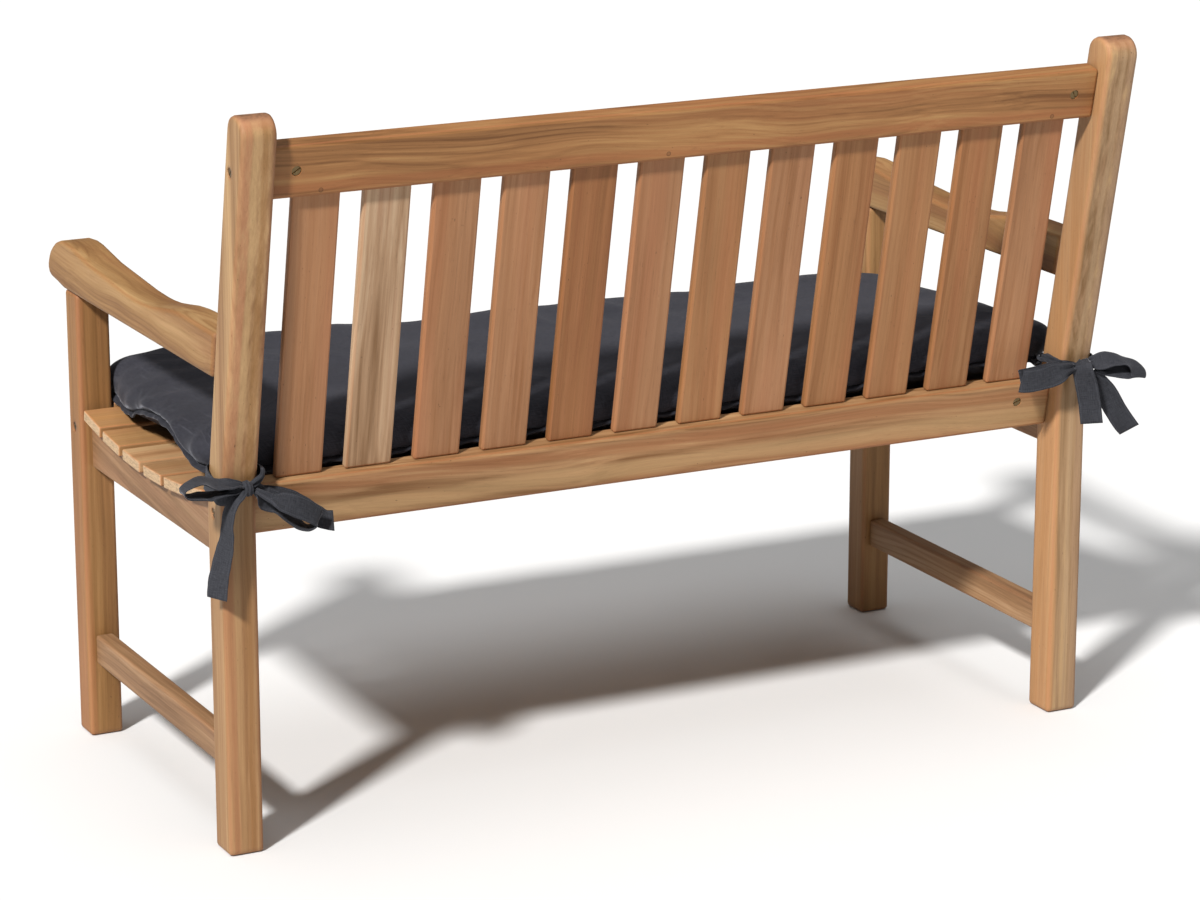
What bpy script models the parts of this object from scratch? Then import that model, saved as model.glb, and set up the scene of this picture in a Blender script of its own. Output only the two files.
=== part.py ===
"""Bench cushion tied on a wooden garden bench.

Metres, +Z up. The bench faces -Y, +X is the sitter's left. The origin is on the floor, under the middle of the
whole object. One object per piece, each with its own material.
"""

import math

import bmesh
import bpy
import numpy as np
from mathutils import Matrix, Vector

# ---------------------------------------------------------------- sizes
GAP = 0.0003                      # clearance between neighbouring pieces

HALF_WIDTH = 0.600                # outer faces of the legs
LEG_X = 0.044                     # leg section along the bench
LEG_BEVEL = 0.0045
REAR_FRONT_Y, REAR_BACK_Y = 0.1986, 0.2460
FRONT_FRONT_Y, FRONT_BACK_Y = -0.2800, -0.2370
LEG_IN = HALF_WIDTH - LEG_X       # inner faces of the legs

RAKE_SLOPE = 0.204                # how far the back leans, along Y for each metre up
RAKE = math.atan(RAKE_SLOPE)
BACK_FACE_Y = 0.1408              # where the rails' back face would meet the floor
RAIL_THICK = 0.0267
RAIL_BEVEL = 0.004
TOP_RAIL_S = (0.8237, 0.8887)     # along the lean, from the floor
LOW_RAIL_S = (0.3967, 0.4615)

BACK_SLATS = 12
BACK_SLAT_PITCH = 0.0895
BACK_SLAT = (0.060, 0.0115)       # width, thickness
BACK_SLAT_SET_IN = 0.0105         # behind the rails' back face
SLAT_BEVEL = 0.0030

SEAT_LOW, SEAT_LOW_Y, SEAT_DISH = 0.4207, -0.0247, 0.46   # the seat is dished: lowest height, where, how much
SEAT_SLAT_THICK = 0.014
SEAT_SLAT_HALF_LENGTH = 0.598
#             name            y of middle  width
SEAT_SLATS = [("seat_slat_2", -0.2003, 0.0585),
              ("seat_slat_3", -0.1328, 0.0590),
              ("seat_slat_4", -0.0626, 0.0590),
              ("seat_slat_5",  0.0098, 0.0595),
              ("seat_slat_6",  0.0790, 0.0590),
              ("seat_slat_7",  0.1492, 0.0580)]
SEAT_SLAT_BEVEL = 0.0018
FRONT_SLAT = (-0.2695, 0.0580, 0.4445, 0.12)   # y of middle, width, top height, slope up to the front

SIDE_RAIL_X = (0.560, 0.586)
SIDE_RAIL_LOW = 0.3616
FRONT_RAIL_Y = (-0.2720, -0.2460)
BEARER_X, BEARER_LOW = 0.013, 0.386
STRETCHER_X = (0.5665, 0.5900)
STRETCHER_Z = (0.0985, 0.1370)

ARM_X = (0.557, 0.602)
ARM_LOW = 0.5880
ARM_BEVEL = 0.004
#          y        z      upper outline of the arm, from the rear leg to the front
ARM_TOP = [(0.2110, 0.6425), (0.1780, 0.6436), (0.1410, 0.6436), (0.1150, 0.6425), (0.0907, 0.6402),
           (0.0600, 0.6352), (0.0303, 0.6308), (0.0000, 0.6286), (-0.0183, 0.6283), (-0.0550, 0.6292),
           (-0.1076, 0.6330), (-0.1450, 0.6356), (-0.1812, 0.6383), (-0.2200, 0.6440), (-0.2450, 0.6478),
           (-0.2680, 0.6492), (-0.2911, 0.6472), (-0.3050, 0.6425), (-0.3170, 0.6350), (-0.3260, 0.6275),
           (-0.3320, 0.6195), (-0.3360, 0.6105), (-0.3355, 0.6035), (-0.3320, 0.5975), (-0.3244, 0.5945),
           (-0.3120, 0.5930), (-0.2980, 0.5912), (-0.2880, 0.5893)]

NUT_RADIUS, POCKET_RADIUS, POCKET_DEPTH = 0.0056, 0.0062, 0.0046
NUT_LOW, NUT_THICK, NUT_SLOT = 0.0012, 0.0031, (0.0016, 0.0014)
TOP_NUT_X, LOW_NUT_X = 0.5240, 0.5070

# ---------------------------------------------------------------- cushion
CUSHION_HALF_X = 0.586
CUSHION_FRONT_Y, CUSHION_REAR_Y = -0.274, 0.199
REAR_TUCK = (0.50, 0.56, 0.006)   # the rear side draws in by the last value beside the legs
CUSHION_CORNER_REAR, CUSHION_CORNER_FRONT = 0.050, 0.022
CUSHION_REST = 0.0006             # bottom above the seat's dish
LEG_CLEAR = 0.0012                # from the front legs' inner faces
SEAM_THICK, SEAM_OUT = 0.0024, 0.0062
FOLDS = (0.0016, 0.118, 0.071)    # soft folds down the sides: depth and two spacings
#              y     seam outline's reach at the +X end, and at the -X end: both sit between the front legs
CUSHION_ENDS = [(-0.300, 0.5430, 0.5430), (-0.236, 0.5445, 0.5445), (-0.222, 0.5460, 0.5600),
                (-0.172, 0.5550, 0.5640), (-0.120, 0.5640, 0.5660), (-0.064, 0.5690, 0.5700),
                (0.028, 0.5765, 0.5780), (0.100, 0.5830, 0.5830), (0.146, 0.5860, 0.5860),
                (0.300, 0.5860, 0.5860)]
#              y     seam height at the end on +X
SEAM_LEFT = [(-0.300, 0.4560), (-0.262, 0.4530), (-0.239, 0.4470), (-0.197, 0.4455), (-0.160, 0.4480),
             (-0.141, 0.4520), (-0.115, 0.4620), (-0.064, 0.4755), (-0.010, 0.4815), (0.028, 0.4825),
             (0.069, 0.4780), (0.100, 0.4670), (0.120, 0.4625), (0.150, 0.4612), (0.199, 0.4630)]
#              y     seam height at the end on -X
SEAM_RIGHT = [(-0.300, 0.4560), (-0.262, 0.4530), (-0.200, 0.4490), (-0.120, 0.4580), (-0.060, 0.4690),
              (0.000, 0.4740), (0.060, 0.4730), (0.110, 0.4700), (0.150, 0.4680), (0.199, 0.4690)]
#              x     seam height along the rear side
SEAM_REAR = [(-0.60, 0.4690), (-0.54, 0.4740), (-0.46, 0.4765), (-0.38, 0.4760), (-0.29, 0.4680),
             (-0.20, 0.4635), (-0.10, 0.4670), (-0.02, 0.4655), (0.07, 0.4645), (0.16, 0.4665),
             (0.25, 0.4655), (0.36, 0.4640), (0.46, 0.4650), (0.54, 0.4620), (0.60, 0.4612)]
#              x     seam height along the front side
SEAM_FRONT = [(-0.60, 0.4530), (-0.45, 0.4600), (-0.30, 0.4640), (-0.10, 0.4630), (0.12, 0.4650),
              (0.30, 0.4640), (0.45, 0.4600), (0.60, 0.4530)]
#              x     height of the top panel along the front, and along the rear
TOP_HEIGHT = [(-0.60, 0.5150, 0.5160), (-0.565, 0.5090, 0.5150), (-0.50, 0.5005, 0.5130), (-0.46, 0.5015, 0.5120),
              (-0.37, 0.5000, 0.5110), (-0.29, 0.4965, 0.5100), (-0.16, 0.5015, 0.5090), (-0.08, 0.5015, 0.5085),
              (0.00, 0.5045, 0.5085), (0.12, 0.5000, 0.5080), (0.23, 0.5090, 0.5090), (0.33, 0.5090, 0.5095),
              (0.44, 0.5080, 0.5100), (0.52, 0.4995, 0.5095), (0.60, 0.4860, 0.5060)]
CORNER_STEPS, LONG_STEPS = 3, 12
END_SHARES = (0.0, 0.045, 0.075, 0.20, 0.40, 0.60, 0.80)   # mesh steps of an end, from its front corner
MIDDLE_SHARE = 4
#           out      share of the height from the seam to the top panel
UPPER = [(0.0070, 0.110), (0.0128, 0.330), (0.0125, 0.620), (0.0045, 0.850), (-0.0130, 0.965), (-0.0400, 1.005),
         (-0.0850, 1.010), (-0.1400, 1.005), (-0.2050, 1.000)]
#           out      share of the height from the seam to the seat
LOWER = [(-0.0040, 0.250), (-0.0180, 0.760), (-0.0420, 1.000), (-0.0950, 1.000), (-0.2050, 1.000)]

# ---------------------------------------------------------------- ties
TAPE_THICK = 0.0013
TAPE_STEPS = 3                    # mesh steps between two stations
# Each strip is a row of stations: middle (x, y, z), direction across the tape, width. The tape is 29 mm wide,
# and gathered to about 9 mm in the knot.
TIE_LEFT_KNOT = ((0.5735, 0.2622, 0.4595), (0.0068, 0.0086, 0.0088))
TIE_LEFT = {
    "outer": [((0.5805, 0.1950, 0.4600), (-0.60, 0.70, 0.10), 0.0160),
              ((0.5925, 0.1970, 0.4640), (-0.15, 0.25, 0.95), 0.0260),
              ((0.6040, 0.2070, 0.4625), (0.00, 0.25, 0.95), 0.0290),
              ((0.6045, 0.2300, 0.4555), (0.00, 0.35, 0.95), 0.0290),
              ((0.6030, 0.2515, 0.4520), (0.00, 0.20, 1.00), 0.0260),
              ((0.5945, 0.2600, 0.4545), (0.05, 0.00, 1.00), 0.0200),
              ((0.5840, 0.2620, 0.4585), (0.05, 0.00, 1.00), 0.0130),
              ((0.5760, 0.2620, 0.4600), (0.00, 0.00, 1.00), 0.0090)],
    "inner": [((0.5530, 0.1988, 0.4640), (-0.30, -0.10, 0.95), 0.0100),
              ((0.5490, 0.2100, 0.4715), (-0.10, 0.00, 1.00), 0.0120),
              ((0.5480, 0.2280, 0.4735), (0.00, 0.10, 1.00), 0.0130),
              ((0.5480, 0.2460, 0.4730), (0.00, 0.20, 1.00), 0.0130),
              ((0.5540, 0.2570, 0.4685), (-0.10, 0.30, 0.95), 0.0120),
              ((0.5640, 0.2615, 0.4635), (0.00, 0.10, 1.00), 0.0100),
              ((0.5715, 0.2620, 0.4605), (0.00, 0.00, 1.00), 0.0090)],
    "loop_out": [((0.5790, 0.2635, 0.4635), (0.40, 0.80, -0.40), 0.0100),
                 ((0.5880, 0.2650, 0.4665), (0.45, 0.85, -0.20), 0.0160),
                 ((0.6010, 0.2665, 0.4690), (0.45, 0.85, -0.20), 0.0240),
                 ((0.6160, 0.2670, 0.4715), (0.45, 0.90, -0.15), 0.0290),
                 ((0.6325, 0.2710, 0.4770), (0.40, 0.95, 0.00), 0.0290),
                 ((0.6470, 0.2750, 0.4770), (0.20, 1.00, 0.00), 0.0290),
                 ((0.6590, 0.2770, 0.4715), (0.15, 1.00, 0.00), 0.0290),
                 ((0.6555, 0.2765, 0.4645), (0.15, 1.00, 0.00), 0.0290),
                 ((0.6425, 0.2730, 0.4605), (0.10, 1.00, 0.00), 0.0290),
                 ((0.6245, 0.2670, 0.4580), (0.10, 1.00, -0.10), 0.0290),
                 ((0.6080, 0.2665, 0.4590), (0.10, 1.00, -0.05), 0.0240),
                 ((0.5920, 0.2650, 0.4600), (0.25, 0.95, -0.10), 0.0150),
                 ((0.5790, 0.2635, 0.4605), (0.45, 0.85, -0.20), 0.0090)],
    "loop_in": [((0.5670, 0.2620, 0.4585), (0.20, 0.70, -0.70), 0.0100),
                ((0.5585, 0.2600, 0.4535), (0.35, 0.55, -0.80), 0.0210),
                ((0.5495, 0.2575, 0.4430), (0.25, 0.35, -0.90), 0.0290),
                ((0.5345, 0.2580, 0.4360), (0.40, 0.50, -0.80), 0.0290),
                ((0.5225, 0.2640, 0.4205), (0.55, 0.80, -0.30), 0.0290),
                ((0.5105, 0.2680, 0.4085), (0.50, 0.85, -0.05), 0.0290),
                ((0.4995, 0.2720, 0.4045), (0.50, 0.85, -0.05), 0.0290),
                ((0.4900, 0.2760, 0.4150), (0.60, 0.65, -0.50), 0.0290),
                ((0.5035, 0.2795, 0.4270), (0.55, 0.55, -0.60), 0.0290),
                ((0.5215, 0.2810, 0.4365), (0.50, 0.50, -0.70), 0.0290),
                ((0.5360, 0.2785, 0.4425), (0.60, 0.55, -0.60), 0.0260),
                ((0.5495, 0.2730, 0.4490), (0.75, 0.60, -0.30), 0.0150),
                ((0.5640, 0.2660, 0.4575), (0.35, 0.70, -0.65), 0.0090)],
    "tail_down": [((0.5775, 0.2625, 0.4600), (0.00, 1.00, 0.05), 0.0100),
                  ((0.5870, 0.2660, 0.4545), (-0.30, 0.90, -0.30), 0.0200),
                  ((0.5950, 0.2665, 0.4450), (-0.25, 0.95, 0.00), 0.0240),
                  ((0.6000, 0.2650, 0.4250), (-0.10, 1.00, 0.10), 0.0270),
                  ((0.6010, 0.2630, 0.4005), (-0.25, 0.95, 0.10), 0.0290),
                  ((0.6080, 0.2620, 0.3710), (-0.45, 0.90, -0.05), 0.0290),
                  ((0.6125, 0.2615, 0.3500), (-0.50, 0.85, -0.10), 0.0290),
                  ((0.6145, 0.2615, 0.3300), (-0.50, 0.85, -0.10), 0.0290)],
    "tail_side": [((0.5665, 0.2600, 0.4570), (0.35, 0.70, -0.65), 0.0090),
                  ((0.5505, 0.2545, 0.4495), (0.40, 0.65, -0.65), 0.0180),
                  ((0.5320, 0.2490, 0.4420), (0.40, 0.65, -0.65), 0.0250),
                  ((0.5140, 0.2480, 0.4350), (0.35, 0.70, -0.65), 0.0270),
                  ((0.4970, 0.2490, 0.4250), (0.35, 0.70, -0.60), 0.0290),
                  ((0.4810, 0.2500, 0.4110), (0.35, 0.65, -0.70), 0.0290),
                  ((0.4705, 0.2515, 0.4050), (0.35, 0.70, -0.60), 0.0290),
                  ((0.4615, 0.2530, 0.4030), (0.30, 0.70, -0.65), 0.0290)],
}
TIE_RIGHT_KNOT = ((-0.5802, 0.2680, 0.4745), (0.0078, 0.0086, 0.0085))
TIE_RIGHT = {
    "outer": [((-0.5805, 0.1950, 0.4640), (0.60, 0.70, 0.10), 0.0160),
              ((-0.5925, 0.1970, 0.4700), (0.15, 0.25, 0.95), 0.0260),
              ((-0.6040, 0.2070, 0.4700), (0.00, 0.10, 1.00), 0.0290),
              ((-0.6045, 0.2300, 0.4710), (0.00, 0.00, 1.00), 0.0290),
              ((-0.6030, 0.2540, 0.4720), (0.00, 0.00, 1.00), 0.0240),
              ((-0.5945, 0.2640, 0.4730), (-0.05, 0.00, 1.00), 0.0160),
              ((-0.5830, 0.2665, 0.4740), (0.00, 0.00, 1.00), 0.0090)],
    "inner": [((-0.5525, 0.1987, 0.4680), (0.30, -0.10, 0.95), 0.0100),
              ((-0.5485, 0.2085, 0.4750), (0.10, 0.00, 1.00), 0.0120),
              ((-0.5490, 0.2220, 0.4800), (0.30, 0.85, -0.35), 0.0120),
              ((-0.5470, 0.2400, 0.4810), (0.30, 0.85, -0.35), 0.0120),
              ((-0.5495, 0.2550, 0.4805), (0.40, 0.80, -0.50), 0.0120),
              ((-0.5590, 0.2635, 0.4780), (0.35, 0.65, -0.70), 0.0110),
              ((-0.5730, 0.2660, 0.4745), (0.25, 0.45, -0.85), 0.0110)],
    "loop_in": [((-0.5715, 0.2635, 0.4740), (0.30, 0.60, -0.75), 0.0120),
                ((-0.5540, 0.2625, 0.4730), (0.25, 0.45, -0.85), 0.0220),
                ((-0.5295, 0.2625, 0.4680), (0.15, 0.40, -0.90), 0.0290),
                ((-0.5045, 0.2640, 0.4660), (0.10, 0.30, -0.95), 0.0290),
                ((-0.4855, 0.2675, 0.4655), (0.10, 0.35, -0.95), 0.0290),
                ((-0.4985, 0.2710, 0.4650), (0.05, 0.20, -1.00), 0.0290),
                ((-0.5210, 0.2730, 0.4675), (0.05, 0.20, -1.00), 0.0300),
                ((-0.5375, 0.2735, 0.4710), (0.20, 0.40, -0.90), 0.0280),
                ((-0.5505, 0.2720, 0.4735), (0.35, 0.50, -0.80), 0.0200),
                ((-0.5670, 0.2680, 0.4740), (0.25, 0.45, -0.85), 0.0110)],
    "loop_out": [((-0.5900, 0.2680, 0.4760), (0.20, 0.65, -0.75), 0.0120),
                 ((-0.5995, 0.2700, 0.4775), (0.25, 0.50, -0.80), 0.0240),
                 ((-0.6165, 0.2715, 0.4785), (0.35, 0.70, -0.65), 0.0290),
                 ((-0.6340, 0.2715, 0.4745), (0.50, 0.80, -0.30), 0.0290),
                 ((-0.6500, 0.2740, 0.4700), (0.70, 0.70, -0.20), 0.0290),
                 ((-0.6575, 0.2780, 0.4625), (0.85, 0.50, 0.00), 0.0290),
                 ((-0.6595, 0.2800, 0.4535), (0.90, 0.35, 0.20), 0.0290),
                 ((-0.6500, 0.2770, 0.4535), (0.90, 0.45, 0.05), 0.0290),
                 ((-0.6325, 0.2700, 0.4590), (0.80, 0.60, -0.15), 0.0290),
                 ((-0.6125, 0.2695, 0.4650), (0.80, 0.55, -0.20), 0.0200),
                 ((-0.5945, 0.2685, 0.4695), (0.65, 0.70, -0.35), 0.0100)],
    "tail_down": [((-0.5840, 0.2620, 0.4805), (-0.55, 0.80, 0.25), 0.0180),
                  ((-0.5755, 0.2725, 0.4790), (-0.65, 0.75, 0.15), 0.0240),
                  ((-0.5745, 0.2765, 0.4700), (-0.60, 0.80, 0.10), 0.0290),
                  ((-0.5805, 0.2760, 0.4505), (-0.80, 0.65, 0.05), 0.0290),
                  ((-0.5875, 0.2740, 0.4255), (-0.80, 0.60, 0.10), 0.0290),
                  ((-0.5925, 0.2730, 0.3980), (-0.70, 0.60, 0.30), 0.0290)],
    "tail_side": [((-0.5930, 0.2680, 0.4670), (-0.35, 0.75, 0.55), 0.0120),
                  ((-0.6055, 0.2665, 0.4525), (-0.50, 0.60, 0.65), 0.0220),
                  ((-0.6180, 0.2660, 0.4350), (-0.65, 0.55, 0.55), 0.0280),
                  ((-0.6300, 0.2660, 0.4150), (-0.80, 0.25, 0.55), 0.0290),
                  ((-0.6440, 0.2660, 0.3950), (-0.75, 0.30, 0.55), 0.0290),
                  ((-0.6560, 0.2660, 0.3805), (-0.60, 0.55, 0.60), 0.0290)],
}

# ---------------------------------------------------------------- helpers
for old in list(bpy.data.objects):
    bpy.data.objects.remove(old, do_unlink=True)

PARTS = bpy.data.collections.new("bench_cushion")
CUTTERS = bpy.data.collections.new("cutters")
for group in (PARTS, CUTTERS):
    bpy.context.scene.collection.children.link(group)


def make_material(name, colour, roughness, metallic=0.0):
    mat = bpy.data.materials.new(name)
    mat.use_nodes = True
    shader = mat.node_tree.nodes["Principled BSDF"]
    shader.inputs["Base Color"].default_value = (*colour, 1.0)
    shader.inputs["Roughness"].default_value = roughness
    shader.inputs["Metallic"].default_value = metallic
    return mat


def place(name, mesh, mat, location=(0, 0, 0), rotation=(0, 0, 0), group=PARTS):
    """Link an object for a mesh; pieces that share a mesh share its material."""
    if mat is not None and not mesh.materials:
        mesh.materials.append(mat)
    obj = bpy.data.objects.new(name, mesh)
    obj.location, obj.rotation_euler = location, rotation
    group.objects.link(obj)
    if group is CUTTERS:
        obj.hide_render, obj.display_type = True, "WIRE"
    else:
        obj.parent = frame
    return obj


def add_bevel(obj, width, segments=2):
    bevel = obj.modifiers.new("rounded_edges", "BEVEL")
    bevel.width, bevel.segments = width, segments
    bevel.limit_method, bevel.angle_limit = "ANGLE", math.radians(40)


def box_mesh(name, size):
    mesh = bpy.data.meshes.new(name)
    bm = bmesh.new()
    bmesh.ops.create_cube(bm, size=1.0)
    bmesh.ops.scale(bm, vec=size, verts=bm.verts)
    bm.to_mesh(mesh)
    bm.free()
    return mesh


def plank(name, size, centre, lean, bevel, mat):
    """A straight board, turned about X by lean."""
    obj = place(name, box_mesh(name, size), mat, centre, (lean, 0.0, 0.0))
    add_bevel(obj, bevel)
    return obj


def side_profile(name, outline, x_low, x_high, bevel, mat):
    """A board cut to an outline of (y, z) points, between two X planes."""
    curve = bpy.data.curves.new(name, "CURVE")
    curve.dimensions, curve.fill_mode = "2D", "BOTH"
    curve.extrude = (x_high - x_low) / 2
    spline = curve.splines.new("POLY")
    spline.points.add(len(outline) - 1)
    for point, (y, z) in zip(spline.points, outline):
        point.co = (y, z, 0.0, 1.0)
    spline.use_cyclic_u = True
    flat = bpy.data.objects.new(name, curve)
    PARTS.objects.link(flat)
    mesh = bpy.data.meshes.new_from_object(flat.evaluated_get(bpy.context.evaluated_depsgraph_get()))
    bpy.data.objects.remove(flat)
    bm = bmesh.new()
    bm.from_mesh(mesh)
    bmesh.ops.remove_doubles(bm, verts=bm.verts, dist=0.00005)
    bmesh.ops.dissolve_limit(bm, angle_limit=0.002, verts=bm.verts, edges=bm.edges)
    # the curve's plane stands up: its X runs along Y, its Y runs up, its thickness lies along X
    upright = Matrix(((0, 0, 1, (x_low + x_high) / 2), (1, 0, 0, 0), (0, 1, 0, 0), (0, 0, 0, 1)))
    bm.transform(upright)
    bmesh.ops.recalc_face_normals(bm, faces=bm.faces)
    if bm.calc_volume(signed=True) < 0:
        bmesh.ops.reverse_faces(bm, faces=bm.faces)
    bm.to_mesh(mesh)
    bm.free()
    mesh.name = name
    obj = place(name, mesh, mat)
    add_bevel(obj, bevel)
    return obj


def cylinder_mesh(name, radius, depth, segments=20):
    mesh = bpy.data.meshes.new(name)
    bm = bmesh.new()
    bmesh.ops.create_cone(bm, cap_ends=True, segments=segments, radius1=radius, radius2=radius, depth=depth)
    bm.to_mesh(mesh)
    bm.free()
    return mesh


def cut(obj, cutter, operation="DIFFERENCE"):
    boolean = obj.modifiers.new(operation.lower(), "BOOLEAN")
    boolean.operation, boolean.solver, boolean.object = operation, "EXACT", cutter


def read(table, at, column=1):
    """Straight-line reading of a table at a value of its first column."""
    return float(np.interp(at, [row[0] for row in table], [row[column] for row in table]))


def seat_height(y):
    return SEAT_LOW + SEAT_DISH * (y - SEAT_LOW_Y) ** 2


def on_back(s, depth, x=0.0):
    """Point at s along the lean, depth in front of the rails' back face."""
    up = Vector((0.0, math.sin(RAKE), math.cos(RAKE)))
    back = Vector((0.0, math.cos(RAKE), -math.sin(RAKE)))
    return Vector((x, BACK_FACE_Y, 0.0)) + up * s - back * depth


frame = bpy.data.objects.new("bench_cushion_frame", None)
PARTS.objects.link(frame)

teak = make_material("teak", (0.46, 0.25, 0.12), 0.62)
pale_teak = make_material("pale_teak", (0.52, 0.36, 0.20), 0.62)
cushion_cloth = make_material("cushion_cloth", (0.035, 0.036, 0.042), 0.88)
tie_cloth = make_material("tie_cloth", (0.040, 0.044, 0.052), 0.85)
brass = make_material("brass", (0.66, 0.47, 0.20), 0.35, 1.0)

# ---------------------------------------------------------------- legs
REAR_LEG_FRONT = [(REAR_FRONT_Y, 0.0), (REAR_FRONT_Y, 0.4050), (0.1992, 0.4250), (0.2012, 0.4470),
                  (0.2055, 0.4720)]
REAR_LEG_BACK = [(0.2487, 0.4520), (0.2466, 0.4300), (REAR_BACK_Y, 0.4100), (REAR_BACK_Y, 0.0)]
DOME_CENTRE, DOME_HALF, DOME_RISE, DOME_STEPS = (0.3140, 0.8888), 0.0240, 0.0215, 12


def rear_leg_outline():
    """Straight below the seat, leaning above it, with a domed top."""
    dome = []
    for step in range(DOME_STEPS + 1):
        turn = math.pi * (1 - step / DOME_STEPS)
        along, rise = DOME_HALF * math.cos(turn), DOME_RISE * math.sin(turn)
        dome.append((DOME_CENTRE[0] + along * math.cos(RAKE) + rise * math.sin(RAKE),
                     DOME_CENTRE[1] - along * math.sin(RAKE) + rise * math.cos(RAKE)))
    return REAR_LEG_FRONT + dome + REAR_LEG_BACK


def leg_front_face(z):
    """Front face of the leaning part of a rear leg."""
    (y0, z0), (y1, z1) = REAR_LEG_FRONT[-1], rear_leg_outline()[len(REAR_LEG_FRONT)]
    return y0 + (y1 - y0) * (z - z0) / (z1 - z0)


front_leg_outline = [(FRONT_FRONT_Y, 0.0), (FRONT_BACK_Y, 0.0), (FRONT_BACK_Y, ARM_LOW - GAP),
                     (FRONT_FRONT_Y, ARM_LOW - GAP)]
for side, sign in (("left", 1), ("right", -1)):
    low, high = sorted((sign * LEG_IN, sign * HALF_WIDTH))
    side_profile("rear_leg_" + side, rear_leg_outline(), low, high, LEG_BEVEL, teak)
    side_profile("front_leg_" + side, front_leg_outline, low, high, LEG_BEVEL, teak)

# ---------------------------------------------------------------- back
rail_length = 2 * (LEG_IN - GAP)
for name, (s_low, s_high) in (("top_rail", TOP_RAIL_S), ("lower_back_rail", LOW_RAIL_S)):
    plank(name, (rail_length, RAIL_THICK, s_high - s_low), on_back((s_low + s_high) / 2, RAIL_THICK / 2),
          -RAKE, RAIL_BEVEL, teak)

slat_low, slat_high = LOW_RAIL_S[1] + GAP, TOP_RAIL_S[0] - GAP
slat_mesh = box_mesh("back_slat", (BACK_SLAT[0], BACK_SLAT[1], slat_high - slat_low))
for number in range(BACK_SLATS):
    x = BACK_SLAT_PITCH * ((BACK_SLATS - 1) / 2 - number)
    mesh, mat = (slat_mesh.copy(), pale_teak) if number == 1 else (slat_mesh, teak)
    slat = place(f"back_slat_{number + 1}", mesh, mat,
                 on_back((slat_low + slat_high) / 2, BACK_SLAT_SET_IN + BACK_SLAT[1] / 2, x), (-RAKE, 0.0, 0.0))
    add_bevel(slat, SLAT_BEVEL)

# ---------------------------------------------------------------- arms
arm_outline = ([(leg_front_face(ARM_LOW) - 1.05 * GAP, ARM_LOW),
                (leg_front_face(ARM_TOP[0][1]) - 1.05 * GAP, ARM_TOP[0][1])]
               + ARM_TOP + [(-0.2780, ARM_LOW)])
for side, sign in (("left", 1), ("right", -1)):
    low, high = sorted((sign * ARM_X[0], sign * ARM_X[1]))
    side_profile("arm_" + side, arm_outline, low, high, ARM_BEVEL, teak)

# ---------------------------------------------------------------- seat frame
under_slats = [(y, seat_height(y) - SEAT_SLAT_THICK - 3 * GAP)
               for y in np.linspace(REAR_FRONT_Y - GAP, FRONT_BACK_Y + GAP, 11)]
side_rail_outline = [(FRONT_BACK_Y + GAP, SIDE_RAIL_LOW), (REAR_FRONT_Y - GAP, SIDE_RAIL_LOW)] + under_slats
for side, sign in (("left", 1), ("right", -1)):
    low, high = sorted((sign * SIDE_RAIL_X[0], sign * SIDE_RAIL_X[1]))
    side_profile("side_rail_" + side, side_rail_outline, low, high, 0.0025, teak)
    plank("stretcher_" + side,
          (STRETCHER_X[1] - STRETCHER_X[0], REAR_FRONT_Y - FRONT_BACK_Y - 2 * GAP, STRETCHER_Z[1] - STRETCHER_Z[0]),
          (sign * sum(STRETCHER_X) / 2, (REAR_FRONT_Y + FRONT_BACK_Y) / 2, sum(STRETCHER_Z) / 2), 0.0, 0.0035, teak)

front_rail_outline = [(FRONT_RAIL_Y[0], SIDE_RAIL_LOW), (FRONT_RAIL_Y[1], SIDE_RAIL_LOW),
                      (FRONT_RAIL_Y[1], 0.4270), (FRONT_RAIL_Y[0], 0.4300)]
side_profile("front_rail", front_rail_outline, -LEG_IN + GAP, LEG_IN - GAP, 0.0015, teak)

bearer_top = [(y, min(seat_height(y) - SEAT_SLAT_THICK - 3 * GAP, 0.4262))
              for y in np.linspace(0.1984, FRONT_RAIL_Y[1] + GAP, 11)]
side_profile("centre_bearer", [(FRONT_RAIL_Y[1] + GAP, BEARER_LOW), (0.1917, BEARER_LOW)] + bearer_top,
             -BEARER_X, BEARER_X, 0.0015, teak)

for name, y, width in SEAT_SLATS:
    lean = math.atan(2 * SEAT_DISH * (y - SEAT_LOW_Y))
    drop = SEAT_SLAT_THICK / 2
    plank(name, (2 * SEAT_SLAT_HALF_LENGTH, width, SEAT_SLAT_THICK),
          (0.0, y + drop * math.sin(lean), seat_height(y) - drop * math.cos(lean)), lean, SEAT_SLAT_BEVEL,
          teak)
y, width, height, slope = FRONT_SLAT
lean = -math.atan(slope)
plank("seat_slat_1", (2 * (LEG_IN - 0.003), width, SEAT_SLAT_THICK),
      (0.0, y + SEAT_SLAT_THICK / 2 * math.sin(lean), height - SEAT_SLAT_THICK / 2 * math.cos(lean)), lean,
      SEAT_SLAT_BEVEL, teak)

# ---------------------------------------------------------------- brass nuts
nut_mesh = cylinder_mesh("nut", NUT_RADIUS, NUT_THICK)
slot_mesh = box_mesh("nut_slot", (3 * NUT_RADIUS, NUT_SLOT[0], 2 * NUT_SLOT[1]))
pocket_mesh = cylinder_mesh("pocket", POCKET_RADIUS, 2 * POCKET_DEPTH)


def add_nut(name, holder, spot, outward, turn):
    """A slotted nut sunk in a round pocket of its holder; outward is the face's normal."""
    outward = Vector(outward).normalized()
    aim = outward.to_track_quat("Z", "Y").to_matrix().to_4x4() @ Matrix.Rotation(turn, 4, "Z")
    rotation = aim.to_euler()
    pocket = place(name + "_pocket", pocket_mesh, None, spot, rotation, CUTTERS)
    cut(bpy.data.objects[holder], pocket)
    top = Vector(spot) - outward * NUT_LOW
    nut = place(name, nut_mesh, brass, top - outward * NUT_THICK / 2, rotation)
    cut(nut, place(name + "_slot", slot_mesh, None, top, rotation, CUTTERS))


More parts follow.
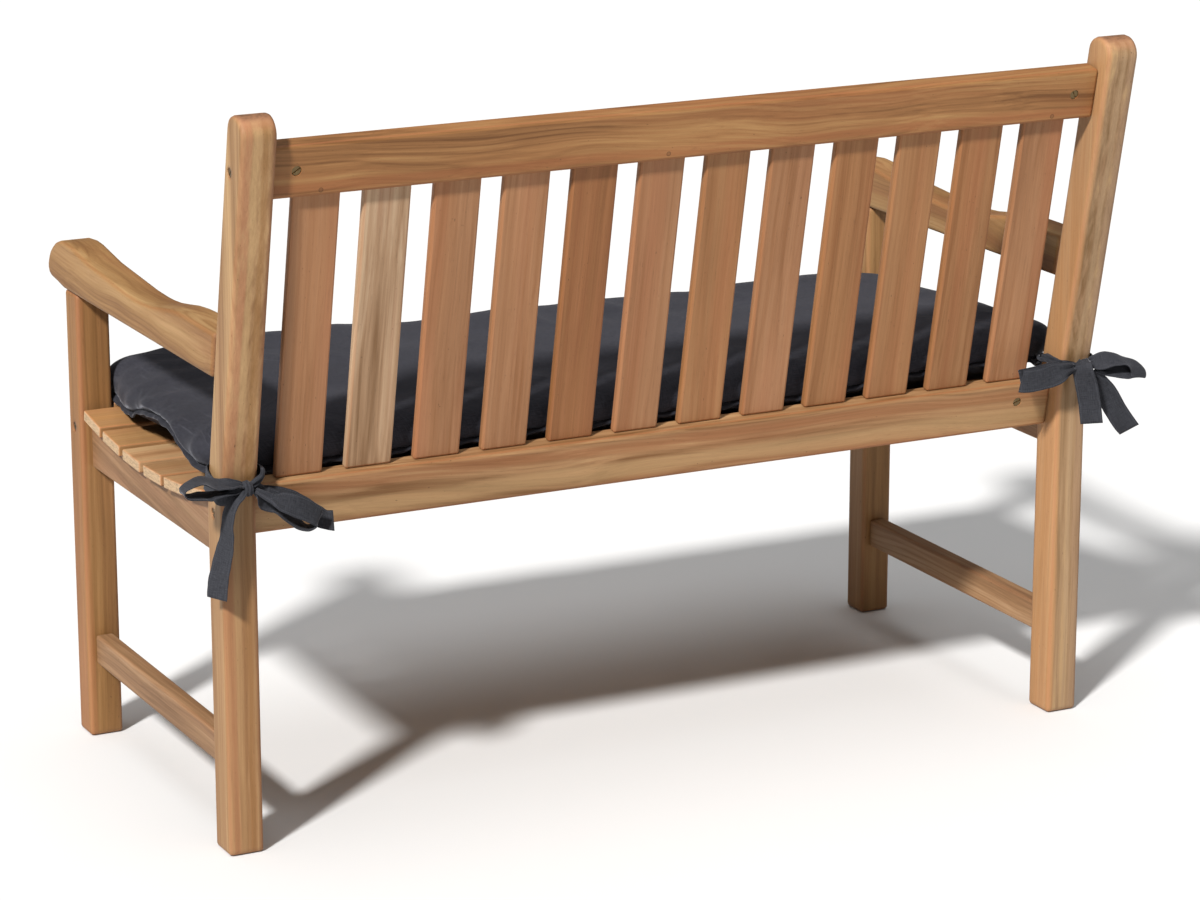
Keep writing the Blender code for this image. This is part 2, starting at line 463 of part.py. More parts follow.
back_normal = (0.0, math.cos(RAKE), -math.sin(RAKE))
turns = {"top": (0.6, 2.1), "low": (1.2, 0.4), "rear_top": (0.9, 1.6), "rear_low": (0.3, 2.4),
         "front": (1.1, 0.7)}
for index, (side, sign) in enumerate((("left", 1), ("right", -1))):
    add_nut("nut_top_rail_" + side, "top_rail", on_back(0.8573, 0.0, sign * TOP_NUT_X), back_normal,
            turns["top"][index])
    add_nut("nut_lower_rail_" + side, "lower_back_rail", on_back(0.4348, 0.0, sign * LOW_NUT_X), back_normal,
            turns["low"][index])
    outer = sign * HALF_WIDTH
    add_nut("bolt_rear_leg_top_" + side, "rear_leg_" + side, (outer, 0.2970, 0.8420), (sign, 0, 0),
            turns["rear_top"][index])
    add_nut("bolt_rear_leg_low_" + side, "rear_leg_" + side, (outer, 0.2190, 0.4215), (sign, 0, 0),
            turns["rear_low"][index])
    add_nut("bolt_front_leg_" + side, "front_leg_" + side, (outer, -0.2600, 0.4108), (sign, 0, 0),
            turns["front"][index])

# ---------------------------------------------------------------- cushion


def smooth_step(low, high, value):
    share = min(max((value - low) / (high - low), 0.0), 1.0)
    return share * share * (3 - 2 * share)


def cushion_outline(out):
    """Plan of the cushion, out from its seam: (x, y, share of the end side) for each point, +X end first."""
    half_x = CUSHION_HALF_X + out
    front, rear = CUSHION_FRONT_Y - out, CUSHION_REAR_Y + out
    rear_corner, front_corner = (max(radius + out, 0.010) for radius in (CUSHION_CORNER_REAR, CUSHION_CORNER_FRONT))
    points = []

    def run(start, finish, steps, share):
        for step in range(steps):
            t = step / steps
            points.append((start[0] + (finish[0] - start[0]) * t, start[1] + (finish[1] - start[1]) * t, share))

    def turn(centre, corner, first_angle, share_from, share_to):
        for step in range(CORNER_STEPS):
            t = step / CORNER_STEPS
            angle = first_angle + t * math.pi / 2
            points.append((centre[0] + corner * math.cos(angle), centre[1] + corner * math.sin(angle),
                           share_from + (share_to - share_from) * t))

    rear_y, front_y = rear - rear_corner, front + front_corner
    end_y = [front_y + share * (rear_y - front_y) for share in END_SHARES]
    rear_x, front_x = half_x - rear_corner, half_x - front_corner
    points += [(half_x, y, 1.0) for y in end_y[MIDDLE_SHARE:]]
    turn((rear_x, rear_y), rear_corner, 0.0, 1.0, 0.0)
    run((rear_x, rear), (-rear_x, rear), LONG_STEPS, 0.0)
    turn((-rear_x, rear_y), rear_corner, math.pi / 2, 0.0, 1.0)
    points += [(-half_x, y, 1.0) for y in [rear_y] + end_y[:0:-1]]
    turn((-front_x, front_y), front_corner, math.pi, 1.0, 0.0)
    run((-front_x, front), (front_x, front), LONG_STEPS, 0.0)
    turn((front_x, front_y), front_corner, 1.5 * math.pi, 0.0, 1.0)
    points += [(half_x, y, 1.0) for y in end_y[:MIDDLE_SHARE]]
    return points


def shape_plan(x, y):
    """Squeeze an outline point between the front legs and beside the rear ones."""
    x *= read(CUSHION_ENDS, y, 1 if x > 0 else 2) / CUSHION_HALF_X
    if y > 0:
        start, full, depth = REAR_TUCK
        y -= depth * smooth_step(start, full, abs(x)) * smooth_step(0.10, 0.20, y)
    return x, y


def top_height(x, y):
    share = smooth_step(-0.20, 0.14, y)
    return read(TOP_HEIGHT, x) * (1 - share) + read(TOP_HEIGHT, x, 2) * share


def seam_height(x, y, end_share):
    end = read(SEAM_LEFT if x > 0 else SEAM_RIGHT, y)
    side = read(SEAM_REAR if y > 0 else SEAM_FRONT, x)
    return end * end_share + side * (1 - end_share)


def cushion_rings():
    seam = [seam_height(*shape_plan(x, y), share) for x, y, share in cushion_outline(0.0)]
    steps = np.cumsum([0.0] + [math.dist(a[:2], b[:2]) for a, b in
                               zip(cushion_outline(0.0), cushion_outline(0.0)[1:])])
    depth, wide, close = FOLDS
    fold = [depth * (math.sin(2 * math.pi * s / wide) + 0.6 * math.sin(2 * math.pi * s / close)) for s in steps]
    rings = []

    def ring(out, height, fold_share):
        row = []
        for index, (x, y, _) in enumerate(cushion_outline(out)):
            middle = Vector((0.0, -0.03, 0.0))
            x, y = shape_plan(x, y)
            inward = (middle - Vector((x, y, 0.0))).normalized()
            x, y = x + inward.x * fold[index] * fold_share, y + inward.y * fold[index] * fold_share
            if y < FRONT_BACK_Y + 0.006:
                x = max(min(x, LEG_IN - LEG_CLEAR), LEG_CLEAR - LEG_IN)
            row.append(Vector((x, y, height(index, x, y))))
        rings.append(row)

    for out, share in reversed(UPPER):
        ring(out, lambda i, x, y: seam[i] + share * (top_height(x, y) - seam[i]),
             1.0 if 0.05 < share < 0.9 else 0.0)
    half = SEAM_THICK / 2
    for out, rise in ((0.0, half), (SEAM_OUT, half), (SEAM_OUT, -half), (0.0, -half)):
        ring(out, lambda i, x, y: seam[i] + rise, 0.0)
    for out, share in LOWER:
        ring(out, lambda i, x, y: seam[i] - share * (seam[i] - seat_height(y) - CUSHION_REST), 0.0)
    return rings


def build_cushion():
    """A loft of rings from the top panel round the seam to the bottom panel, closed across both panels."""
    rings = cushion_rings()
    bm = bmesh.new()
    rows = [[bm.verts.new(point) for point in ring] for ring in rings]
    count = len(rows[0])
    for upper, lower in zip(rows, rows[1:]):
        for k in range(count):
            n = (k + 1) % count
            bm.faces.new((upper[k], lower[k], lower[n], upper[n]))
    for row in (rows[0], rows[-1]):
        bm.faces.new((row[0], row[1], row[-1]))
        for k in range(1, count // 2 - 1):
            bm.faces.new((row[k], row[k + 1], row[count - k - 1], row[count - k]))
        k = count // 2
        bm.faces.new((row[k - 1], row[k], row[k + 1]))
    crease = bm.edges.layers.float.new("crease_edge")
    first = len(UPPER)
    for row in rows[first:first + 4]:
        for k in range(count):
            edge = bm.edges.get((row[k], row[(k + 1) % count]))
            edge[crease] = 1.0
    bmesh.ops.recalc_face_normals(bm, faces=bm.faces)
    mesh = bpy.data.meshes.new("cushion")
    bm.to_mesh(mesh)
    bm.free()
    cushion = place("cushion", mesh, cushion_cloth)
    soften = cushion.modifiers.new("soft_form", "SUBSURF")
    soften.levels = soften.render_levels = 1
    mesh.shade_smooth()


build_cushion()

# ---------------------------------------------------------------- ties


def smooth_through(values, steps):
    """Points on the smooth curve through rows of numbers, evenly in each interval."""
    rows = [np.array(value, dtype=float) for value in values]
    rows = [2 * rows[0] - rows[1]] + rows + [2 * rows[-1] - rows[-2]]
    points = []
    for a, b, c, d in zip(rows, rows[1:], rows[2:], rows[3:]):
        for step in range(steps):
            t = step / steps
            points.append(0.5 * (2 * b + (c - a) * t + (2 * a - 5 * b + 4 * c - d) * t ** 2
                                 + (3 * b - a - 3 * c + d) * t ** 3))
    points.append(rows[-2])
    return points


def tape(name, stations):
    """A flat strip through its stations: an open surface given the tape's thickness."""
    path = smooth_through([(*middle, *across, width) for middle, across, width in stations], TAPE_STEPS)
    mesh = bpy.data.meshes.new(name)
    bm = bmesh.new()
    bmesh.ops.create_grid(bm, x_segments=1, y_segments=len(path) - 1, size=1.0)
    for vert in bm.verts:
        index = round((vert.co.y + 1) / 2 * (len(path) - 1))
        row = path[index]
        along = path[min(index + 1, len(path) - 1)][:3] - path[max(index - 1, 0)][:3]
        along = Vector(along).normalized()
        across = Vector(row[3:6])
        across = (across - along * across.dot(along)).normalized()
        vert.co = Vector(row[:3]) + across * (0.5 * row[6] * (1 if vert.co.x > 0 else -1))
    bm.to_mesh(mesh)
    bm.free()
    strip = place(name, mesh, None, group=CUTTERS)
    shell = strip.modifiers.new("cloth", "SOLIDIFY")
    shell.thickness, shell.offset = TAPE_THICK, 0.0
    return strip


def bow(name, strips, knot):
    """Two tapes knotted in a bow: the knot with each strip joined to it."""
    centre, radii = knot
    mesh = bpy.data.meshes.new(name)
    bm = bmesh.new()
    bmesh.ops.create_uvsphere(bm, u_segments=12, v_segments=8, radius=1.0)
    bmesh.ops.scale(bm, vec=radii, verts=bm.verts)
    bm.to_mesh(mesh)
    bm.free()
    knotted = place(name, mesh, tie_cloth, centre)
    for strip_name, stations in strips.items():
        cut(knotted, tape(name + "_" + strip_name, stations), "UNION")


bow("tie_left", TIE_LEFT, TIE_LEFT_KNOT)
bow("tie_right", TIE_RIGHT, TIE_RIGHT_KNOT)
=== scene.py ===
"""Garden bench with its tied seat cushion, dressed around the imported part.

The sections follow the bench as it is put together: legs, arms, back, seat frame, seat slats and brass, then
the cushion, its seam and the two bows that tie it to the rear posts.
"""
import math

import bmesh
import bpy
import numpy as np
from mathutils import Euler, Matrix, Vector
from mathutils.bvhtree import BVHTree


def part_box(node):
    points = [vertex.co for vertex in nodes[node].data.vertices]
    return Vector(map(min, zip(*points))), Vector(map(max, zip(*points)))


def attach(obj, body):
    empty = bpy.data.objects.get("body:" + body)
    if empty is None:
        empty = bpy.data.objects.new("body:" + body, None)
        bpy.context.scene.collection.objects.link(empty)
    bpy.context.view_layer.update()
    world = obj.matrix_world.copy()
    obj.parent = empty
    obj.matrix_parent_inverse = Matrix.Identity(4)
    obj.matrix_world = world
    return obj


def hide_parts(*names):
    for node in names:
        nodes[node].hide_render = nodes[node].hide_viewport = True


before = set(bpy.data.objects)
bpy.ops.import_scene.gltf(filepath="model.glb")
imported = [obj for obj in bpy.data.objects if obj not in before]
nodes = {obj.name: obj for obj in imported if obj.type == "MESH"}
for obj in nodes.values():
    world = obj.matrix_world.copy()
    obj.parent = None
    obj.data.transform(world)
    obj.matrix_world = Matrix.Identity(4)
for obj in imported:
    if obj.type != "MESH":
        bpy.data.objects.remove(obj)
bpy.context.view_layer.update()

# ---------------------------------------------------------------- view and studio
# A long lens behind the bench, a little above its top rail. The light is a plain white studio: one soft key
# from behind and to the sitter's left, and white all round.
scene = bpy.context.scene
scene.view_settings.view_transform = "Standard"
camera_data = bpy.data.cameras.new("camera")
camera_data.sensor_width, camera_data.lens = 36.0, 121.198     # in millimetres
camera = bpy.data.objects.new("camera", camera_data)
camera.location = (2.2480, 4.4787, 1.7597)
camera.rotation_euler = Vector((0.4352, 0.8597, 0.2674)).to_track_quat("Z", "Y").to_euler()
scene.collection.objects.link(camera)
scene.camera = camera

key_data = bpy.data.lights.new("key_light", "SUN")
key_data.energy, key_data.angle, key_data.color = 4.9, math.radians(6.0), (1.0, 0.985, 0.965)
key_light = bpy.data.objects.new("key_light", key_data)
key_light.rotation_euler = Vector((0.92, 0.70, 1.0)).to_track_quat("Z", "Y").to_euler()
scene.collection.objects.link(key_light)

roof_data = bpy.data.lights.new("overhead_softbox", "SUN")
roof_data.energy, roof_data.angle = 1.15, math.radians(50.0)
roof_light = bpy.data.objects.new("overhead_softbox", roof_data)
scene.collection.objects.link(roof_light)

world = bpy.data.worlds.new("studio_white")
world.use_nodes = True
world_tree = world.node_tree
room = world_tree.nodes["Background"]
backdrop = world_tree.nodes.new("ShaderNodeBackground")
for background, strength in ((room, 0.15), (backdrop, 1.0)):
    background.inputs["Color"].default_value = (1.0, 1.0, 1.0, 1.0)
    background.inputs["Strength"].default_value = strength
seen_or_lit = world_tree.nodes.new("ShaderNodeMixShader")
ray = world_tree.nodes.new("ShaderNodeLightPath")
for place, output in enumerate((ray.outputs["Is Camera Ray"], room.outputs[0], backdrop.outputs[0])):
    world_tree.links.new(output, seen_or_lit.inputs[place])
world_tree.links.new(seen_or_lit.outputs[0], world_tree.nodes["World Output"].inputs["Surface"])
scene.world = world

floor_mesh = bpy.data.meshes.new("studio_floor")
floor_bm = bmesh.new()
bmesh.ops.create_grid(floor_bm, x_segments=1, y_segments=1, size=40.0)
bmesh.ops.translate(floor_bm, verts=floor_bm.verts, vec=(0.0, 0.0, -0.0005))
floor_bm.to_mesh(floor_mesh)
floor_bm.free()
floor = bpy.data.objects.new("studio_floor", floor_mesh)
floor_paint = bpy.data.materials.new("studio_floor_paint")
floor_paint.use_nodes = True
floor_shader = floor_paint.node_tree.nodes["Principled BSDF"]
floor_shader.inputs["Base Color"].default_value = (0.70, 0.70, 0.70, 1.0)
floor_shader.inputs["Roughness"].default_value = 0.9
floor_mesh.materials.append(floor_paint)
scene.collection.objects.link(floor)

# ---------------------------------------------------------------- legs
# Two rear posts, sawn with a bend so that the back leans, and two straight front legs. Sanded bare hardwood
# with a straight grain, paler than the slats, and a painted edge highlight, a rosy tint along the rounded
# edges.


def wire(tree, kind, props=(), **sockets):
    """A node with its settings. A socket is named, or numbered as n0, and takes a value or an output."""
    made = tree.nodes.new(kind)
    row, column = divmod(len(tree.nodes), 10)
    made.location = (200 * column, -260 * row)
    for key, value in dict(props).items():
        setattr(made, key, value)
    for key, value in sockets.items():
        socket = made.inputs[int(key[1:]) if key[1:].isdigit() else key]
        if isinstance(value, bpy.types.NodeSocket):
            tree.links.new(value, socket)
        else:
            socket.default_value = value
    return made


def maths(tree, operation, *values, clamp=False):
    made = wire(tree, "ShaderNodeMath", {"operation": operation, "use_clamp": clamp},
                **{"n%d" % k: value for k, value in enumerate(values)})
    return made.outputs[0]


def vector_maths(tree, operation, *values):
    made = wire(tree, "ShaderNodeVectorMath", {"operation": operation},
                **{"n%d" % k: value for k, value in enumerate(values)})
    return made.outputs["Value" if operation in ("LENGTH", "DISTANCE", "DOT_PRODUCT") else "Vector"]


def ranged(tree, value, low, high, to_low, to_high):
    return wire(tree, "ShaderNodeMapRange", n0=value, n1=low, n2=high, n3=to_low, n4=to_high).outputs[0]


def grey(tree, value):
    return wire(tree, "ShaderNodeCombineXYZ", n0=value, n1=value, n2=value).outputs[0]


def blend(tree, share, under, over, how="MIX"):
    """One colour over another, mixed or multiplied."""
    under, over = ((*tint, 1.0) if isinstance(tint, tuple) else tint for tint in (under, over))
    props = {"data_type": "RGBA", "blend_type": how}
    return wire(tree, "ShaderNodeMix", props, n0=share, n6=under, n7=over).outputs[2]


def speckle(tree, at, scale=1.0, detail=2.0, rough=0.5, out="Fac"):
    made = wire(tree, "ShaderNodeTexNoise", Vector=at, Scale=scale, Detail=detail, Roughness=rough)
    return made.outputs[out]


def ramp(tree, value, stops, smooth="LINEAR"):
    """A colour ramp. Each stop is a place and a grey or a colour."""
    made = wire(tree, "ShaderNodeValToRGB", n0=value)
    made.color_ramp.interpolation = smooth
    elements = made.color_ramp.elements
    while len(elements) < len(stops):
        elements.new(0.5)
    for element, (at, tint) in zip(elements, stops):
        element.position = at
        element.color = (*tint, 1.0) if isinstance(tint, tuple) else (tint, tint, tint, 1.0)
    return made.outputs["Color"]


def own_normal(tree, normal):
    """A surface direction in the piece's own axes."""
    props = {"vector_type": "NORMAL", "convert_from": "WORLD", "convert_to": "OBJECT"}
    return wire(tree, "ShaderNodeVectorTransform", props, Vector=normal).outputs[0]


def new_material(name):
    mat = bpy.data.materials.new(name)
    mat.use_nodes = True
    return mat, mat.node_tree, mat.node_tree.nodes["Principled BSDF"]


def dress(node, mat):
    """Give a piece of the frame its material."""
    piece = nodes[node]
    piece.data.materials.clear()
    piece.data.materials.append(mat)


KEY_GAIN = 1.15


def seen(colour):
    """The wood colour that shows as this 0-255 colour where the key light falls on it."""
    shades = []
    for part in colour:
        part = part / 255
        shades.append((part / 12.92 if part < 0.04045 else ((part + 0.055) / 1.055) ** 2.4) / KEY_GAIN)
    return tuple(shades)


def wood(node, grain, heart, ring, light, mid, dark, rose, rosy=0.45, figure=0.14, wobble=0.012,
         lean=(0.0, 0.0), narrow_share=0.5, edge_highlight_tint=None, edge_highlight_share=0.55, ends=None, streaks=(), pins=(),
         round_over=None, seed=0.0):
    """Sanded wood for a board: streaks and growth rings along the grain, fibres, pores, and a painted edge
    highlight, a rosy tint on the rounded arrises.

    grain is the direction of the fibres, heart how far off the board's middle the log's heart lies, ring the
    ring spacing. light, mid, dark and rose are the tones that the streaks run through, ends the sawn ends. A
    streak is one stripe: across direction, offset from the middle, half width, colour, strength. Pins are the
    heads of hardwood pins, and round_over softens the sanded arrises by so much. Colours are 0-255."""
    mat, tree, shader = new_material(node + "_wood")
    low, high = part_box(node)
    centre = (Vector(low) + Vector(high)) / 2
    fibres = Vector(grain).normalized()
    turn = fibres.rotation_difference(Vector((0, 0, 1))).to_matrix()
    turn = Euler((lean[0], lean[1], 0.0)).to_matrix() @ turn
    place = wire(tree, "ShaderNodeTexCoord").outputs["Object"]
    along = wire(tree, "ShaderNodeMapping", Vector=place, Location=-(turn @ centre),
                 Rotation=turn.to_euler()).outputs[0]

    def noise(given, detail, across, lengthwise, offset, rough=0.5, out="Fac"):
        moved_by = (seed + offset, seed * 1.7 + offset, seed * 0.6)
        at = vector_maths(tree, "MULTIPLY_ADD", given, (across, across, lengthwise), moved_by)
        return speckle(tree, at, 1.0, detail, rough, out)

    bend = noise(along, 2.0, 7.0, 2.3, 3.1, out="Color")
    bend = vector_maths(tree, "MULTIPLY_ADD", bend, (wobble * 3, wobble * 3, 0.0),
                        (-wobble * 1.5, -wobble * 1.5, 0.0))
    flow = vector_maths(tree, "ADD", along, bend)
    section = vector_maths(tree, "MULTIPLY_ADD", flow, (1.0, 1.0, 0.0), (-heart[0], -heart[1], 0.0))
    rings = maths(tree, "DIVIDE", vector_maths(tree, "LENGTH", section), ring)
    rings = maths(tree, "MULTIPLY_ADD", noise(flow, 2.0, 14.0, 2.0, 8.4), 1.6, rings)
    late = ramp(tree, maths(tree, "FRACT", rings),
                [(0.0, 0.30), (0.15, 0.05), (0.55, 0.25), (0.85, 0.95), (1.0, 0.30)], "EASE")
    strength = ranged(tree, noise(flow, 1.0, 22.0, 3.0, 1.7), 0.35, 0.65, 0.0, 1.0)
    late = maths(tree, "MULTIPLY", late, strength)
    broad = ranged(tree, noise(flow, 3.0, 34.0, 1.1, 4.4), 0.32, 0.68, 0.0, 1.0)
    narrow = ranged(tree, noise(flow, 5.0, 150.0, 2.2, 2.2, 0.6), 0.30, 0.70, 0.0, 1.0)
    streak = wire(tree, "ShaderNodeMix", {"data_type": "FLOAT"}, n0=narrow_share, n2=broad, n3=narrow)
    streak = maths(tree, "MULTIPLY_ADD", late, figure * 2, streak.outputs[0], clamp=True)
    body = ramp(tree, streak, [(0.14, seen(light)), (0.48, seen(mid)), (0.92, seen(dark))])
    warm = ranged(tree, noise(flow, 3.0, 26.0, 1.2, 9.9), 0.48, 0.68, 0.0, rosy)
    body = blend(tree, warm, body, seen(rose))
    weave = noise(flow, 2.0, 30.0, 4.0, 7.7)
    for across, offset, half, colour, share in streaks:
        level = offset + Vector(across).dot(centre) + half * 0.8
        away = maths(tree, "SUBTRACT", vector_maths(tree, "DOT_PRODUCT", place, across), level)
        away = maths(tree, "ABSOLUTE", maths(tree, "MULTIPLY_ADD", weave, half * 1.6, away))
        inside = ranged(tree, away, half * 0.55, half * 1.25, share, 0.0)
        inside = maths(tree, "MULTIPLY", inside, ranged(tree, narrow, 0.0, 0.5, 0.55, 1.0))
        body = blend(tree, inside, body, seen(colour))

    fine = noise(flow, 4.0, 520.0, 5.0, 0.3, 0.62)
    pores = ranged(tree, noise(flow, 2.0, 1000.0, 60.0, 6.6, 0.6), 0.60, 0.74, 1.0, 0.82)
    tone = ranged(tree, noise(flow, 2.0, 11.0, 2.2, 5.5), 0.32, 0.68, 0.90, 1.09)
    for mark in (ranged(tree, fine, 0.28, 0.72, 0.90, 1.08), pores,
                 ranged(tree, noise(flow, 1.0, 480.0, 190.0, 12.3), 0.765, 0.80, 1.0, 0.50)):
        tone = maths(tree, "MULTIPLY", tone, mark)
    body = blend(tree, 1.0, body, grey(tree, tone), "MULTIPLY")
    for pin in pins:
        away = maths(tree, "MULTIPLY", vector_maths(tree, "DISTANCE", place, pin), 200.0)
        head = ramp(tree, away, [(0.0, 0.70), (0.36, 0.78), (0.46, 0.42), (0.56, 0.50), (0.64, 1.0)])
        body = blend(tree, 1.0, body, head, "MULTIPLY")

    if round_over:
        turned = wire(tree, "ShaderNodeBevel", {"samples": 6}, Radius=round_over).outputs[0]
    else:
        turned = wire(tree, "ShaderNodeNewGeometry").outputs["Normal"]
    facing = own_normal(tree, turned)
    if ends:
        sawn = maths(tree, "ABSOLUTE", vector_maths(tree, "DOT_PRODUCT", facing, tuple(fibres)))
        cracks = speckle(tree, vector_maths(tree, "MULTIPLY", place, (150.0, 110.0, 520.0)), 1.0, 4.0, 0.7)
        cracks = grey(tree, ranged(tree, cracks, 0.34, 0.56, 0.62, 1.08))
        rough_end = blend(tree, 1.0, seen(ends), cracks, "MULTIPLY")
        body = blend(tree, ranged(tree, sawn, 0.75, 0.90, 0.0, 1.0), body, rough_end)
    # Painted edge highlight: where the surface turns away from the board's faces, on the rounded arrises, the
    # colour is pulled towards a rosy tint (edge_highlight_tint, else rose) that stands in for pinkish edge
    # highlights.
    split = wire(tree, "ShaderNodeSeparateXYZ", n0=vector_maths(tree, "ABSOLUTE", facing)).outputs
    widest = maths(tree, "MAXIMUM", maths(tree, "MAXIMUM", split[0], split[1]), split[2])
    body = blend(tree, ranged(tree, widest, 0.80, 0.965, edge_highlight_share, 0.0), body, seen(edge_highlight_tint or rose))
    tree.links.new(body, shader.inputs["Base Color"])
    tree.links.new(ranged(tree, fine, 0.2, 0.8, 0.64, 0.50), shader.inputs["Roughness"])
    shader.inputs["Specular IOR Level"].default_value = 0.28
    relief = maths(tree, "MULTIPLY_ADD", pores, 0.6, fine)
    bump = wire(tree, "ShaderNodeBump", n0=0.25, n1=0.0004, Height=relief)
    if round_over:
        tree.links.new(turned, bump.inputs["Normal"])
    tree.links.new(bump.outputs[0], shader.inputs["Normal"])
    dress(node, mat)


STRAW, ROSY = (186, 152, 108), (178, 122, 88)
OUT_X, OUT_Z = (1.0, 0.0, 0.0), (0.0, 0.0, 1.0)
#         node              heart             tones: light, mid, dark                stripes
POSTS = [("rear_leg_left", (0.030, 0.075), STRAW, (168, 132, 92), (132, 96, 60),
          [(OUT_X, 0.0130, 0.0050, ROSY, 0.60), (OUT_X, 0.0035, 0.0042, STRAW, 0.50),
           (OUT_X, -0.0090, 0.0045, (146, 106, 62), 0.60), (OUT_X, -0.0205, 0.0050, (138, 92, 60), 0.55),
           (OUT_Z, -0.3000, 0.3000, (142, 98, 60), 0.45)]),
         ("rear_leg_right", (-0.040, 0.060), STRAW, (160, 128, 94), (126, 94, 58),
          [(OUT_X, 0.0200, 0.0055, (184, 134, 88), 0.60), (OUT_X, -0.0020, 0.0040, (176, 146, 112), 0.5),
           (OUT_X, -0.0150, 0.0060, (164, 132, 104), 0.5)]),
         ("front_leg_left", (0.055, 0.020), (162, 122, 76), (146, 106, 62), (122, 86, 47),
          [(OUT_X, 0.0180, 0.0050, (154, 98, 62), 0.5)]),
         ("front_leg_right", (-0.045, 0.050), (168, 128, 82), (150, 110, 66), (126, 90, 52), [])]
for seed, (node, heart, light, mid, dark, stripes) in enumerate(POSTS, 1):
    wood(node, (0, 0, 1), heart, 0.0072, light, mid, dark, ROSY, rosy=0.18, figure=0.10, wobble=0.008,
         lean=(0.006, 0.004), streaks=stripes, ends=(140, 100, 72), edge_highlight_share=0.45, round_over=0.0075,
         seed=1.4 * seed)

# ---------------------------------------------------------------- arms
# One board each side, sawn with a dished top and a rounded scroll at the front, tan with brown and rosy
# figure where the saw cut across the rings.
for node, heart, seed in (("arm_left", (0.010, -0.035), 7.7), ("arm_right", (-0.012, -0.040), 9.1)):
    wood(node, (0, 1, 0.02), heart, 0.0060, (174, 138, 92), (152, 114, 70), (126, 88, 50), (146, 98, 62),
         rosy=0.55, figure=0.16, wobble=0.022, narrow_share=0.25, lean=(0.045, 0.02), ends=(148, 108, 76),
         round_over=0.0060, seed=seed)

# ---------------------------------------------------------------- back
# A top rail and a lower rail with twelve flat slats let in between them, each slat from another board: most
# are reddish brown, and the second from the sitter's left is pale sapwood.
RAKE_UP = (0.0, 0.204, 1.0)
RED_BROWN = (150, 92, 54)
wood("top_rail", (1, 0, 0), (0.035, 0.030), 0.0075, (172, 130, 82), (154, 108, 65), (112, 73, 38), RED_BROWN,
     rosy=0.50, figure=0.16, wobble=0.020, lean=(0.004, 0.030), seed=11.2,
     streaks=[(OUT_Z, -0.0230, 0.0060, (152, 94, 56), 0.6)],
     pins=[(0.4925, 0.3069, 0.8143), (0.0448, 0.3069, 0.8158), (-0.4950, 0.3069, 0.8143)])
wood("lower_back_rail", (1, 0, 0), (0.020, 0.045), 0.0075, (186, 150, 106), (168, 127, 87), (122, 84, 48),
     RED_BROWN, rosy=0.6, figure=0.16, wobble=0.020, lean=(0.004, 0.026), seed=12.6,
     streaks=[(OUT_Z, -0.0160, 0.0110, (180, 146, 102), 0.55), (OUT_Z, 0.0150, 0.0080, (152, 96, 58), 0.50)])

#                      light            mid             dark           rosy tint
SLAT_TONES = {"rosy": ((172, 126, 90), (161, 115, 79), (144, 97, 61), (170, 113, 79)),
              "golden": ((169, 123, 82), (157, 110, 70), (138, 91, 53), (164, 105, 67)),
              "brown": ((156, 108, 69), (144, 97, 58), (126, 80, 45), (150, 95, 59)),
              "pale": ((196, 166, 134), (172, 138, 106), (130, 96, 64), (184, 124, 100))}
#         tone      heart of the log   ring    figure  lean
SLATS = [("rosy", (0.030, 0.045), 0.0062, 0.08, (0.012, 0.004)),
         ("pale", (0.004, 0.050), 0.0090, 0.20, (0.020, 0.012)),
         ("rosy", (0.012, 0.030), 0.0070, 0.12, (0.016, 0.008)),
         ("rosy", (-0.045, 0.060), 0.0060, 0.08, (0.006, 0.003)),
         ("brown", (0.040, 0.030), 0.0056, 0.10, (0.005, 0.006)),
         ("rosy", (-0.050, 0.050), 0.0060, 0.07, (0.004, 0.002)),
         ("golden", (0.022, 0.060), 0.0070, 0.09, (0.010, 0.003)),
         ("rosy", (0.003, 0.034), 0.0075, 0.16, (0.026, 0.005)),
         ("golden", (-0.034, 0.046), 0.0062, 0.09, (0.012, 0.004)),
         ("golden", (0.050, 0.040), 0.0058, 0.07, (0.004, 0.003)),
         ("golden", (0.006, 0.036), 0.0075, 0.14, (0.024, 0.006)),
         ("rosy", (-0.004, 0.030), 0.0085, 0.22, (0.032, 0.006))]
# Each slat also carries the painted edge highlight: a rosy tint along its rounded arrises.
for number, (tone, heart, ring, figure, lean) in enumerate(SLATS, 1):
    wood("back_slat_%d" % number, RAKE_UP, heart, ring, *SLAT_TONES[tone], rosy=0.5, figure=figure,
         wobble=0.006, lean=lean, edge_highlight_tint=(178, 114, 74), edge_highlight_share=0.55, seed=20.0 + number)

# ---------------------------------------------------------------- seat frame
# Side rails with a dished top edge that sets the seat's hollow, a front rail, a middle bearer and a low
# stretcher on each side.
for node, grain, seed in (("side_rail_left", (0, 1, -0.10), 41.0), ("side_rail_right", (0, 1, -0.06), 42.0),
                          ("stretcher_left", (0, 1, 0), 43.0), ("stretcher_right", (0, 1, 0), 44.0),
                          ("front_rail", (1, 0, 0), 45.0), ("centre_bearer", (0, 1, 0), 46.0)):
    wood(node, grain, (0.030, 0.050), 0.0075, (170, 136, 102), (146, 111, 78), (116, 83, 54), (154, 106, 78),
         rosy=0.35, figure=0.12, lean=(0.012, 0.010), seed=seed)

